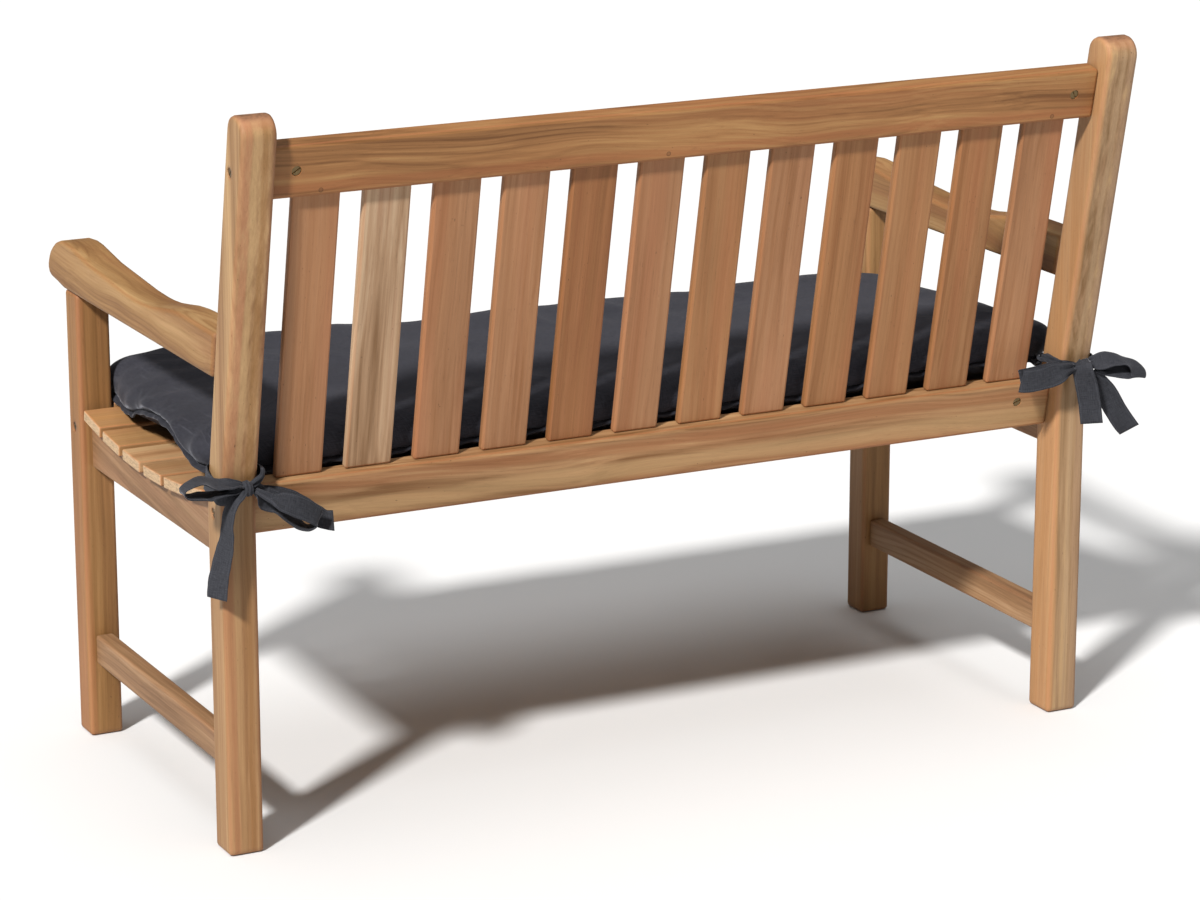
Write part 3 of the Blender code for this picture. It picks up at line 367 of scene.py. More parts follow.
# ---------------------------------------------------------------- seat slats
# Seven boards across the side rails, paler than the back, with a painted edge highlight, a rosy tint along
# their rounded edges, and with rough end grain showing at the sides of the seat.
for number, heart, mid in ((1, (0.030, 0.020), (182, 138, 90)), (2, (0.010, 0.040), (168, 122, 74)),
                           (3, (-0.020, 0.030), (176, 132, 84)), (4, (0.025, 0.028), (190, 150, 108)),
                           (5, (-0.012, 0.045), (172, 132, 92)), (6, (0.018, 0.024), (192, 150, 106)),
                           (7, (0.000, 0.036), (188, 146, 102))):
    wood("seat_slat_%d" % number, (1, 0, 0), heart, 0.0065, (190, 156, 114), mid, (160, 120, 80),
         (180, 124, 86), figure=0.08, lean=(0.003, 0.010), edge_highlight_tint=(196, 122, 80), edge_highlight_share=0.8,
         ends=(190, 160, 124), seed=60.0 + number)

# ---------------------------------------------------------------- brass
# Slotted barrel nuts and bolt heads, turned in brass and set below the wood, gone a little dull. Their flat
# faces are darker than the bright rims round them.
brass, brass_tree, brass_shader = new_material("dull_brass")
brass_shader.inputs["Metallic"].default_value = 1.0
brass_place = wire(brass_tree, "ShaderNodeTexCoord").outputs["Object"]
brass_cloud = speckle(brass_tree, brass_place, 420.0, 3.0)
brass_tint = blend(brass_tree, brass_cloud, (0.075, 0.052, 0.026), (0.24, 0.17, 0.085))
brass_facing = own_normal(brass_tree, wire(brass_tree, "ShaderNodeNewGeometry").outputs["Normal"])
NUT_FACE, BOLT_FACE = (0.0, 0.98, -0.20), (1.0, 0.0, 0.0)
brass_flat = [maths(brass_tree, "ABSOLUTE", vector_maths(brass_tree, "DOT_PRODUCT", brass_facing, axis))
              for axis in (NUT_FACE, BOLT_FACE)]
brass_rim = ranged(brass_tree, maths(brass_tree, "MAXIMUM", *brass_flat), 0.80, 0.97, 1.0, 0.0)
brass_tint = blend(brass_tree, brass_rim, brass_tint, (0.80, 0.60, 0.30))
brass_tree.links.new(brass_tint, brass_shader.inputs["Base Color"])
brass_tree.links.new(ranged(brass_tree, brass_cloud, 0.3, 0.7, 0.28, 0.46), brass_shader.inputs["Roughness"])
for side in ("left", "right"):
    for fixing in ("nut_top_rail", "nut_lower_rail", "bolt_rear_leg_top", "bolt_rear_leg_low",
                   "bolt_front_leg"):
        dress("%s_%s" % (fixing, side), brass)

# ---------------------------------------------------------------- cushion
# Dark grey outdoor cloth over a soft filling. The top panel rolls over the shoulders and down the sides to a
# seam in their lower half. The cloth is blown out by its filling and puckers where the seam holds it.
HALF_X, FRONT_Y, MIDDLE_Y, REAR_Y = 0.586, -0.274, -0.03, 0.199
REAR_TUCK = (0.50, 0.56, 0.006)
SEAT_LOW, SEAT_LOW_Y, SEAT_DISH = 0.4207, -0.0247, 0.46
REAR_RADIUS, FRONT_RADIUS = 0.050, 0.022
LEG_FACE, LEG_CLEAR, LEG_BACK_Y = 0.556, 0.0016, -0.237
FOLD_DEPTH, FOLD_WIDE, FOLD_CLOSE = 0.0016, 0.118, 0.071
END_STEPS, REAR_STEPS, CORNER_STEPS = 24, 64, 5
SLAT_GAP, SLAT_EDGE = 0.0006, 0.0035
THREAD_PITCH = 0.0011
# Millimetres: y, then the cushion's reach at +X and at -X.
END_REACH = [(-300, 543, 543), (-236, 544.5, 544.5), (-222, 546, 560), (-172, 555, 564), (-120, 564, 566),
             (-64, 569, 570), (28, 576.5, 578), (100, 583, 583), (146, 586, 586), (300, 586, 586)]
# The seam's height in millimetres, along y at the ends and along x at the rear and the front.
SEAM_LEFT = [(-300, 456), (-262, 453), (-239, 447), (-197, 445.5), (-160, 448), (-141, 452), (-115, 462),
             (-64, 475.5), (-10, 481.5), (28, 482.5), (69, 478), (100, 467), (120, 462.5), (150, 461.2),
             (199, 463)]
SEAM_RIGHT = [(-300, 456), (-262, 453), (-200, 449), (-120, 458), (-60, 469), (0, 474), (60, 473),
              (110, 470), (150, 468), (199, 469)]
SEAM_REAR = [(-600, 469), (-540, 474), (-460, 476.5), (-380, 476), (-290, 468), (-200, 463.5),
             (-100, 467), (-20, 465.5), (70, 464.5), (160, 466.5), (250, 465.5), (360, 464), (460, 465),
             (540, 462), (600, 461.2)]
SEAM_FRONT = [(-600, 453), (-450, 460), (-300, 464), (-100, 463), (120, 465), (300, 464), (450, 460),
              (600, 453)]
# Millimetres: x, then the height of the crown along the front and along the rear.
CROWN = [(-600, 515, 516), (-565, 509, 515), (-500, 500.5, 513), (-460, 501.5, 512), (-370, 500, 511),
         (-290, 496.5, 510), (-160, 501.5, 509), (-80, 501.5, 508.5), (0, 504.5, 508.5), (120, 500, 508),
         (230, 509, 509), (330, 509, 509.5), (440, 508, 510), (520, 499.5, 509.5), (600, 486, 506)]
#                out      share of the height from the seam up to the crown, and down to the seat
TOP_SECTION = [(-0.2050, 1.000), (-0.1700, 1.002), (-0.1400, 1.005), (-0.1100, 1.008), (-0.0850, 1.010),
               (-0.0600, 1.009), (-0.0400, 1.005), (-0.0130, 0.965), (0.0045, 0.850), (0.0125, 0.620),
               (0.0128, 0.330), (0.0070, 0.110), (0.0, 0.030)]
LOW_SECTION = [(0.0, -0.030), (-0.0090, -0.230), (-0.0330, -0.640), (-0.0640, -1.000), (-0.1050, -1.000),
               (-0.1500, -1.000), (-0.2050, -1.000)]


def step_between(low, high, value):
    share = np.clip((value - low) / (high - low), 0.0, 1.0)
    return share * share * (3 - 2 * share)


def read_row(table, at, column=1):
    """A value in metres from a table in millimetres."""
    return np.interp(at, [row[0] / 1000 for row in table], [row[column] / 1000 for row in table])


def cushion_plan(out):
    """The cushion's outline in plan, out from its seam: x, y and the share that belongs to an end."""
    rear_r, front_r = max(REAR_RADIUS + out, 0.010), max(FRONT_RADIUS + out, 0.010)
    front, rear, reach = FRONT_Y - out, REAR_Y + out, HALF_X + out
    end_y = np.linspace(front + front_r, rear - rear_r, END_STEPS, endpoint=False)
    side_x = np.linspace(reach - rear_r, rear_r - reach, REAR_STEPS, endpoint=False)
    nose_x = np.linspace(front_r - reach, reach - front_r, REAR_STEPS, endpoint=False)
    turn = np.linspace(0.0, math.pi / 2, CORNER_STEPS, endpoint=False)
    part = turn / (math.pi / 2)
    rows = [np.c_[np.full(END_STEPS, reach), end_y, np.ones(END_STEPS)],
            np.c_[reach - rear_r + rear_r * np.cos(turn), rear - rear_r + rear_r * np.sin(turn), 1 - part],
            np.c_[side_x, np.full(REAR_STEPS, rear), np.zeros(REAR_STEPS)],
            np.c_[rear_r - reach - rear_r * np.sin(turn), rear - rear_r + rear_r * np.cos(turn), part],
            np.c_[np.full(END_STEPS, -reach), end_y[::-1] + (rear - rear_r - front - front_r) / END_STEPS,
                  np.ones(END_STEPS)],
            np.c_[front_r - reach - front_r * np.cos(turn), front + front_r - front_r * np.sin(turn),
                  1 - part],
            np.c_[nose_x, np.full(REAR_STEPS, front), np.zeros(REAR_STEPS)],
            np.c_[reach - front_r + front_r * np.sin(turn), front + front_r - front_r * np.cos(turn), part]]
    x, y, share = np.vstack(rows).T
    x = x * np.where(x > 0, read_row(END_REACH, y, 1), read_row(END_REACH, y, 2)) / HALF_X
    start, full, depth = REAR_TUCK
    y = y - np.where(y > 0, depth * step_between(start, full, abs(x)) * step_between(0.10, 0.20, y), 0.0)
    return x, y, share


def seam_rise(x, y, share):
    """The seam's height, from the ends' tables by the share and from the long sides' for the rest."""
    end = np.where(x > 0, read_row(SEAM_LEFT, y), read_row(SEAM_RIGHT, y))
    side = np.where(y > 0, read_row(SEAM_REAR, x), read_row(SEAM_FRONT, x))
    return end * share + side * (1 - share)


def crown_rise(x, y):
    share = step_between(-0.20, 0.14, y)
    return read_row(CROWN, x, 1) * (1 - share) + read_row(CROWN, x, 2) * share


def seat_rise(y):
    return SEAT_LOW + SEAT_DISH * (y - SEAT_LOW_Y) ** 2 + SLAT_GAP


def between_legs(grid):
    """Keep the front of the cushion inside the front legs."""
    beside_leg = grid[..., 1] < LEG_BACK_Y + 0.006
    room_x = LEG_FACE - LEG_CLEAR
    grid[..., 0] = np.where(beside_leg, np.clip(grid[..., 0], -room_x, room_x), grid[..., 0])
    return grid


def refine(grid):
    """One round of smooth subdivision of a closed band of rings: rows are rings, columns go round."""
    before, after = np.roll(grid, 1, axis=1), np.roll(grid, -1, axis=1)
    wide = np.empty((grid.shape[0], grid.shape[1] * 2, 3))
    wide[:, ::2], wide[:, 1::2] = (before + 6 * grid + after) / 8, (grid + after) / 2
    tall = np.empty((wide.shape[0] * 2 - 1, wide.shape[1], 3))
    tall[::2], tall[1::2] = wide, (wide[:-1] + wide[1:]) / 2
    tall[2:-2:2] = (wide[:-2] + 6 * wide[1:-1] + wide[2:]) / 8
    return tall


def band_faces(number):
    """Quads between rings of numbered points."""
    following = np.roll(number, -1, axis=1)
    return np.stack([number[:-1], number[1:], following[1:], following[:-1]], -1).reshape(-1, 4).tolist()


def band_mesh(name, grid):
    """Rings joined by quads, and closed by strips across the first and last ring."""
    rings, columns = grid.shape[:2]
    number = np.arange(rings * columns).reshape(rings, columns)
    faces = band_faces(number)
    start = END_STEPS // 2 * columns // (2 * (END_STEPS + REAR_STEPS + 2 * CORNER_STEPS))
    for row, order in ((number[0], 1), (number[-1], -1)):
        row = np.roll(row, -start).tolist()
        closing = [(row[0], row[1], row[-1])]
        closing += [(row[k], row[k + 1], row[columns - k - 1], row[columns - k])
                    for k in range(1, columns // 2 - 1)]
        closing.append((row[columns // 2 - 1], row[columns // 2], row[columns // 2 + 1]))
        faces += [face[::order] for face in closing]
    mesh = bpy.data.meshes.new(name)
    mesh.from_pydata(grid.reshape(-1, 3).tolist(), [], faces)
    mesh.validate()
    return mesh


def link_piece(name, data):
    piece = bpy.data.objects.new(name, data)
    scene.collection.objects.link(piece)
    return piece


x0, y0, share0 = cushion_plan(0.0)
seam_z = seam_rise(x0, y0, share0)
steps_round = np.r_[0.0, np.cumsum(np.hypot(np.diff(x0), np.diff(y0)))]
soft_fold = FOLD_DEPTH * (np.sin(2 * math.pi * steps_round / FOLD_WIDE)
                          + 0.6 * np.sin(2 * math.pi * steps_round / FOLD_CLOSE))
cage = []
for out, rise in TOP_SECTION + LOW_SECTION:
    x, y, _ = cushion_plan(out)
    inward = np.c_[-x, MIDDLE_Y - y]
    inward /= np.linalg.norm(inward, axis=1)[:, None]
    if 0.05 < rise < 0.9:
        x, y = x + inward[:, 0] * soft_fold, y + inward[:, 1] * soft_fold
    if rise > 0:
        z = seam_z + rise * (crown_rise(x, y) - seam_z)
    else:
        z = seam_z + rise * (seam_z - seat_rise(y))
    cage.append(np.c_[x, y, z])
cage = between_legs(np.array(cage))
body = refine(cage)
SEAM_ROW = 2 * (len(TOP_SECTION) - 1) + 1             # between the two halves, on the refined rings


def blow_out(grid):
    """The filling presses the cloth out against its seam: cloth simulation, kept to small moves."""
    mesh = band_mesh("cloth_trial", grid)
    trial = link_piece("cloth_trial", mesh)
    held = trial.vertex_groups.new(name="held")
    rings, columns = grid.shape[:2]
    for row in range(rings):
        if abs(row - SEAM_ROW) <= 1 or row > SEAM_ROW + 8:
            held.add(list(range(row * columns, (row + 1) * columns)), 1.0, "REPLACE")
    cloth = trial.modifiers.new("cloth", "CLOTH").settings
    cloth.quality = 6
    cloth.mass = 0.25
    cloth.tension_stiffness = cloth.compression_stiffness = 12.0
    cloth.shear_stiffness = 4.0
    cloth.bending_stiffness = 0.15
    cloth.use_pressure = True
    cloth.uniform_pressure_force = 4.0
    cloth.shrink_min = -0.045
    cloth.vertex_group_mass = "held"
    cloth.effector_weights.gravity = 0.0
    for frame_number in range(1, 21):
        scene.frame_set(frame_number)
    blown = trial.evaluated_get(bpy.context.evaluated_depsgraph_get())
    points = np.empty(len(mesh.vertices) * 3)
    blown.data.vertices.foreach_get("co", points)
    scene.frame_set(1)
    bpy.data.objects.remove(trial)
    bpy.data.meshes.remove(mesh)
    return points.reshape(grid.shape)


def spread(values, times):
    """Smooth a grid's values over its neighbours, round and across."""
    for _ in range(times):
        values = (np.roll(values, 1, 1) + 2 * values + np.roll(values, -1, 1)) / 4
        edge = np.concatenate([values[:1], values, values[-1:]])
        values = (edge[:-2] + 2 * edge[1:-1] + edge[2:]) / 4
    return values


PUCKER_SHARE, PUCKER_MOST, SWELL_ROUNDS = 0.6, 0.0045, 14
moved = blow_out(body) - body
moved -= spread(moved, SWELL_ROUNDS)                # only the puckers stay, the overall swell doesn't
size = np.linalg.norm(moved, axis=2, keepdims=True)
moved *= PUCKER_SHARE * np.minimum(1.0, PUCKER_MOST / np.maximum(size, 1e-9))
body = body + spread(moved, 1)
body = refine(body)
SEAM_ROW = 2 * SEAM_ROW


def grid_normals(grid):
    round_way = np.roll(grid, -1, 1) - np.roll(grid, 1, 1)
    down_way = np.gradient(grid, axis=0)
    normal = np.cross(down_way, round_way)
    return normal / np.maximum(np.linalg.norm(normal, axis=2, keepdims=True), 1e-12)


def ridges(along, waves):
    """Uneven waves along the seam, from a few lengths that never repeat together."""
    return sum(height * np.sin(2 * math.pi * along / length + phase) for length, height, phase in waves)


seam_run = np.r_[0.0, np.cumsum(np.linalg.norm(np.diff(body[SEAM_ROW], axis=0), axis=1))]
row_steps = np.linalg.norm(np.diff(body, axis=0), axis=2)
from_seam = np.zeros(body.shape[:2])
from_seam[SEAM_ROW + 1:] = -np.cumsum(row_steps[SEAM_ROW:], axis=0)
from_seam[:SEAM_ROW] = np.cumsum(row_steps[:SEAM_ROW][::-1], axis=0)[::-1]

# Puckers: short ridges that start in the stitches and die out over the side.
#           length  height phase
PUCKERS = [(0.0137, 0.40, 0.3), (0.0193, 0.55, 1.9), (0.0278, 0.60, 4.1), (0.0411, 0.55, 2.6),
           (0.0730, 0.40, 5.2)]
PUCKER_HIGH, ABOVE_FADE, BELOW_FADE = 0.0004, 0.017, 0.011
TUCK_DEEP, TUCK_WIDE = 0.0016, 0.0026
outward = grid_normals(body)
pucker = ridges(seam_run, PUCKERS)[None, :] * PUCKER_HIGH
fade = np.exp(-abs(from_seam) / np.where(from_seam >= 0, ABOVE_FADE, BELOW_FADE))
fade = fade * step_between(0.0, 0.004, abs(from_seam))
tuck = -TUCK_DEEP * np.exp(-(from_seam / TUCK_WIDE) ** 2)     # the stitches pull the cloth in along the seam
body = body + outward * (pucker * fade + tuck)[..., None]

# Folds, in millimetres: start (x, y, z), end (x, y, z), depth and half width.
CREASES = [((556, -120, 494), (571, -85, 480), 1.2, 3), ((553, -75, 500), (574, -35, 484), 1.3, 3),
           ((560, -30, 500), (579, 10, 486), 1, 2.8), ((530, 130, 510), (560, 190, 492), 1.6, 6),
           ((470, 165, 512), (400, 205, 490), 1.8, 8), ((300, 120, 509), (335, 200, 497), 2, 9),
           ((265, 150, 510), (215, 206, 486), 2.2, 7.5), ((180, 160, 509), (235, 208, 484), 1.8, 7),
           ((130, 110, 509), (60, 200, 498), 2.4, 9), ((45, 170, 508), (95, 209, 482), 1.8, 6.5),
           ((-20, 120, 509), (30, 203, 494), 2.4, 9), ((-60, 165, 509), (-115, 208, 484), 2, 7),
           ((-170, 110, 509), (-105, 200, 498), 2.6, 9.5), ((-185, 160, 509), (-235, 208, 486), 2.2, 7),
           ((-270, 130, 510), (-215, 205, 494), 2.2, 8.5), ((-310, 150, 510), (-370, 206, 488), 2.2, 8),
           ((-440, 130, 511), (-385, 204, 497), 2.2, 9), ((-470, 160, 512), (-520, 200, 490), 1.8, 7.5),
           ((120, -100, 503), (60, 20, 506), 1.2, 12), ((-90, -60, 503), (-170, 50, 506), 1.4, 12),
           ((330, -110, 506), (250, -10, 507), 1.2, 12), ((-370, -80, 502), (-300, 40, 506), 1.4, 12),
           ((470, -160, 503), (545, -215, 482), 2, 9), ((-470, -160, 502), (-545, -210, 486), 2, 9)]
outward = grid_normals(body)
lift = np.zeros(body.shape[:2])
for start, end, height, half in CREASES:
    start, end = np.array(start) / 1000, np.array(end) / 1000
    height, half = height / 1000, 1.25 * (half / 1000)
    way = end - start
    share = ((body - start) @ way) / (way @ way)
    inside = np.clip(share, 0.0, 1.0)
    gap = body - (start + inside[..., None] * way)
    across = np.linalg.norm(gap, axis=2)
    ends = step_between(-0.25, 0.25, share) * step_between(-0.25, 0.30, 1 - share)
    raised = np.exp(-(across / half) ** 2) - 0.55 * np.exp(-((across - 1.9 * half) / half) ** 2)
    lift += 0.6 * height * ends * raised
lift *= step_between(0.0, 0.006, abs(from_seam))
body = between_legs(body + outward * lift[..., None])

# The padding gives where it lies on the seat slats, and stops short of their edges.
slat_tops = []
for number in range(1, 8):
    board = nodes["seat_slat_%d" % number].data
    sides = [tuple(side.vertices) for side in board.polygons]
    slat_tops.append(BVHTree.FromPolygons([corner.co for corner in board.vertices], sides))
ABOVE_SEAT, DOWN = 0.52, Vector((0.0, 0.0, -1.0))
for row in range(SEAM_ROW, body.shape[0]):
    for stop in range(body.shape[1]):
        x, y, z = map(float, body[row, stop])
        for off in (-SLAT_EDGE, 0.0, SLAT_EDGE):
            for slat_top in slat_tops:
                hit = slat_top.ray_cast(Vector((x, y + off, ABOVE_SEAT)), DOWN)[0]
                if hit is not None:
                    z = max(z, hit.z + SLAT_GAP)
        body[row, stop, 2] = z

# The weave follows the cloth: flat coordinates run from the panel's middle out over the shoulder.
ways = {}
for side, ring in (("top", body[0]), ("low", body[-1])):
    reach = body[SEAM_ROW, :, :2] - ring[:, :2]
    reach /= np.linalg.norm(reach, axis=1, keepdims=True)
    if side == "top":
        travelled = np.vstack([np.zeros(body.shape[1]), np.cumsum(row_steps, axis=0)])
    else:
        travelled = np.vstack([np.cumsum(row_steps[::-1], axis=0)[::-1], np.zeros(body.shape[1])])
    ways[side] = ring[None, :, :2] + reach[None] * travelled[..., None]

cushion_mesh = band_mesh("cushion_cover", body)
cushion_mesh.shade_smooth()
flat_map = cushion_mesh.uv_layers.new(name="cloth")
corner_vertex = np.empty(len(cushion_mesh.loops), int)
cushion_mesh.loops.foreach_get("vertex_index", corner_vertex)
first_corner, corner_count = (np.empty(len(cushion_mesh.polygons), int) for _ in range(2))
cushion_mesh.polygons.foreach_get("loop_start", first_corner)
cushion_mesh.polygons.foreach_get("loop_total", corner_count)
lowest_row = np.minimum.reduceat(corner_vertex // body.shape[1], first_corner)
low_face = np.repeat(lowest_row >= SEAM_ROW, corner_count)
flat_points = np.where(low_face[:, None], ways["low"].reshape(-1, 2)[corner_vertex],
                       ways["top"].reshape(-1, 2)[corner_vertex])
flat_map.data.foreach_set("uv", flat_points.ravel())
cover = link_piece("cushion_cover", cushion_mesh)


def cloth_finish(name, warp, weft, stitch_at=None, crease_highlight_from=None):
    """Matt woven polyester: warp and weft threads of two shades, slubs, and the sheen of fine fibres.

    stitch_at is an edge stitch's distance from a tape's middle and its stitch length. crease_highlight_from
    is the x past which thin crease lines carry a painted highlight, a much lighter colour than the cloth."""
    mat, tree, shader = new_material(name)
    flat = wire(tree, "ShaderNodeUVMap", {"uv_map": "cloth"}).outputs[0]
    solid = wire(tree, "ShaderNodeTexCoord").outputs["Object"]
    parts = wire(tree, "ShaderNodeSeparateXYZ", n0=flat).outputs
    threads = [maths(tree, "SINE", maths(tree, "MULTIPLY", parts[axis], 2 * math.pi / THREAD_PITCH))
               for axis in (0, 1)]
    slubs = [speckle(tree, vector_maths(tree, "MULTIPLY", flat, stretch))
             for stretch in ((90.0, 1300.0, 1.0), (1300.0, 90.0, 1.0))]
    slub = ranged(tree, maths(tree, "ADD", *slubs), 0.72, 1.28, 0.0, 1.0)
    weave = maths(tree, "MULTIPLY_ADD", maths(tree, "MULTIPLY", *threads), 0.22, slub, clamp=True)
    cloud = grey(tree, ranged(tree, speckle(tree, solid, 9.0, 3.0), 0.3, 0.7, 0.90, 1.10))
    body = blend(tree, 1.0, blend(tree, weave, warp, weft), cloud, "MULTIPLY")
    height = weave
    if crease_highlight_from:
        # Painted highlight: thin lighter lines along small creases, standing in for light catching their
        # ridges, laid on past the given x over the cushion's end.
        bent = speckle(tree, flat, 24.0, 1.0, out="Color")
        bent = wire(tree, "ShaderNodeMix", {"data_type": "VECTOR"}, n0=0.005, n4=flat, n5=bent).outputs[1]
        bent = vector_maths(tree, "MULTIPLY_ADD", bent, (330.0, 11.0, 1.0), (5.3, 2.2, 0.0))
        line = ranged(tree, speckle(tree, bent, 1.0, 0.0), 0.68, 0.76, 0.0, 0.16)
        place = wire(tree, "ShaderNodeSeparateXYZ", n0=solid).outputs[0]
        place = ranged(tree, place, crease_highlight_from, crease_highlight_from + 0.02, 0.0, 1.0)
        crease_highlight_colour = (weft[0] * 3.2, weft[1] * 3.2, weft[2] * 3.0)
        body = blend(tree, maths(tree, "MULTIPLY", line, place), body, crease_highlight_colour)
    if stitch_at:
        width, gap = stitch_at
        line = maths(tree, "COMPARE", maths(tree, "ABSOLUTE", parts[0]), width, 0.00045)
        dash = maths(tree, "LESS_THAN", maths(tree, "WRAP", parts[1], gap, 0.0), gap * 0.72)
        thread = maths(tree, "MULTIPLY", line, dash)
        body = blend(tree, thread, body, tuple(tint * 1.12 for tint in weft))
        height = maths(tree, "MULTIPLY_ADD", thread, 1.5, weave)
    tree.links.new(body, shader.inputs["Base Color"])
    for socket, value in (("Roughness", 0.92), ("Specular IOR Level", 0.14), ("Sheen Weight", 0.17),
                          ("Sheen Roughness", 0.32), ("Sheen Tint", (0.88, 0.90, 1.0, 1.0))):
        shader.inputs[socket].default_value = value
    bump = wire(tree, "ShaderNodeBump", n0=0.30, n1=0.0003, Height=height)
    tree.links.new(bump.outputs[0], shader.inputs["Normal"])
    return mat


# Past x 0.515, over the cushion's end, the cloth carries the painted crease highlights.
cushion_mesh.materials.append(cloth_finish("outdoor_cloth", (0.0165, 0.0165, 0.0215), (0.039, 0.0393, 0.049),
                                           crease_highlight_from=0.515))
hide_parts("cushion")
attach(cover, "root")

# ---------------------------------------------------------------- cushion seam
# The top and bottom panels are sewn face to face and turned, and their folded edges stand out all round as a
# flat flange, topstitched close to the cushion. It droops and waves, and stands up into an ear at a corner.
FLANGE_WIDE, FLANGE_THICK = 0.0095, 0.0032
#                  out      height, as shares of the width and of the thickness
FLANGE_TOP = [(-0.55, 0.30), (0.05, 0.32), (0.22, 0.26), (0.34, 0.42), (0.62, 0.50), (0.86, 0.50),
              (0.97, 0.32)]
FLANGE_SECTION = FLANGE_TOP + [(1.00, 0.0)] + [(out, -high) for out, high in FLANGE_TOP[::-1]]
DROOPS = [(0.0470, 0.55, 0.7), (0.0870, 0.80, 2.2), (0.1530, 0.60, 4.4), (0.0260, 0.35, 1.1)]
STITCH_LONG, STITCH_PITCH, STITCH_THICK = 0.0030, 0.0040, 0.0006
STITCH_OUT, STITCH_UP = 0.28, 0.34
root = body[SEAM_ROW]
heading = np.roll(root, -1, 0) - np.roll(root, 1, 0)
heading /= np.linalg.norm(heading, axis=1, keepdims=True)
level_out = np.c_[heading[:, 1], -heading[:, 0], np.zeros(len(root))]
level_out /= np.linalg.norm(level_out, axis=1, keepdims=True)
middle_way = root[:, :2] - np.array([0.0, MIDDLE_Y])
level_out *= np.sign((level_out[:, :2] * middle_way).sum(1, keepdims=True))


def near(reach, *corners):
    """How close the seam is to any of these places in plan: 1 at the place, dying out over the reach."""
    return sum(np.exp(-((root[:, 0] - x) ** 2 + (root[:, 1] - y) ** 2) / reach ** 2) for x, y in corners)


ear = near(0.030, (0.545, -0.262), (-0.545, -0.262))
near_post = near(0.045, (0.585, 0.205), (-0.585, 0.205))
flap = near(0.030, (0.580, 0.190), (-0.572, 0.190))
wide = FLANGE_WIDE * (1.0 + 0.10 * ridges(seam_run, [(0.064, 0.7, 0.4), (0.031, 0.5, 3.0)]) + 0.35 * ear
                      - 0.45 * near_post)
wide += FLANGE_WIDE * flap
droop = -0.50 + 0.16 * ridges(seam_run, DROOPS) - 0.75 * flap
flange_out = level_out * np.cos(droop)[:, None] + np.array([0.0, 0.0, 1.0]) * np.sin(droop)[:, None]
flange_up = np.cross(heading, flange_out)
flange_up *= np.sign(flange_up[:, 2:3])
wave = 0.0007 * ridges(seam_run, [(0.0210, 0.7, 0.2), (0.0360, 0.9, 1.3), (0.0580, 0.8, 3.9)])


def on_flange(out, high):
    """The line round the flange at this share of its width and thickness."""
    lift = high * FLANGE_THICK + wave * max(out, 0.0)
    return root + flange_out * (out * wide)[:, None] + flange_up * lift[:, None]


def sewn_piece(name, grid, faces, flat, mat):
    """A closed piece of cloth from its points and faces, with flat coordinates for its weave."""
    mesh = bpy.data.meshes.new(name)
    mesh.from_pydata(grid.reshape(-1, 3).tolist(), [], faces)
    bm = bmesh.new()
    bm.from_mesh(mesh)
    bmesh.ops.recalc_face_normals(bm, faces=bm.faces)
    bm.to_mesh(mesh)
    bm.free()
    mesh.shade_smooth()
    corner = np.empty(len(mesh.loops), int)
    mesh.loops.foreach_get("vertex_index", corner)
    mesh.uv_layers.new(name="cloth").data.foreach_set("uv", flat[corner].ravel())
    mesh.materials.append(mat)
    return link_piece(name, mesh)


flange = between_legs(np.array([on_flange(out, high) for out, high in FLANGE_SECTION]))
rows, columns = flange.shape[:2]
number = np.arange(rows * columns).reshape(rows, columns)
beside, onward = np.roll(number, -1, 1), np.roll(number, -1, 0)
flange_faces = np.stack([number, beside, np.roll(beside, -1, 0), onward], -1).reshape(-1, 4).tolist()
flat_out = np.repeat([out * FLANGE_WIDE for out, high in FLANGE_SECTION], columns)
flange_flat = np.c_[flat_out, np.tile(seam_run, rows)]
flange_cloth = cloth_finish("flange_cloth", (0.016, 0.0164, 0.021), (0.034, 0.0345, 0.043))
seam_edge = sewn_piece("cushion_seam", flange, flange_faces, flange_flat, flange_cloth)


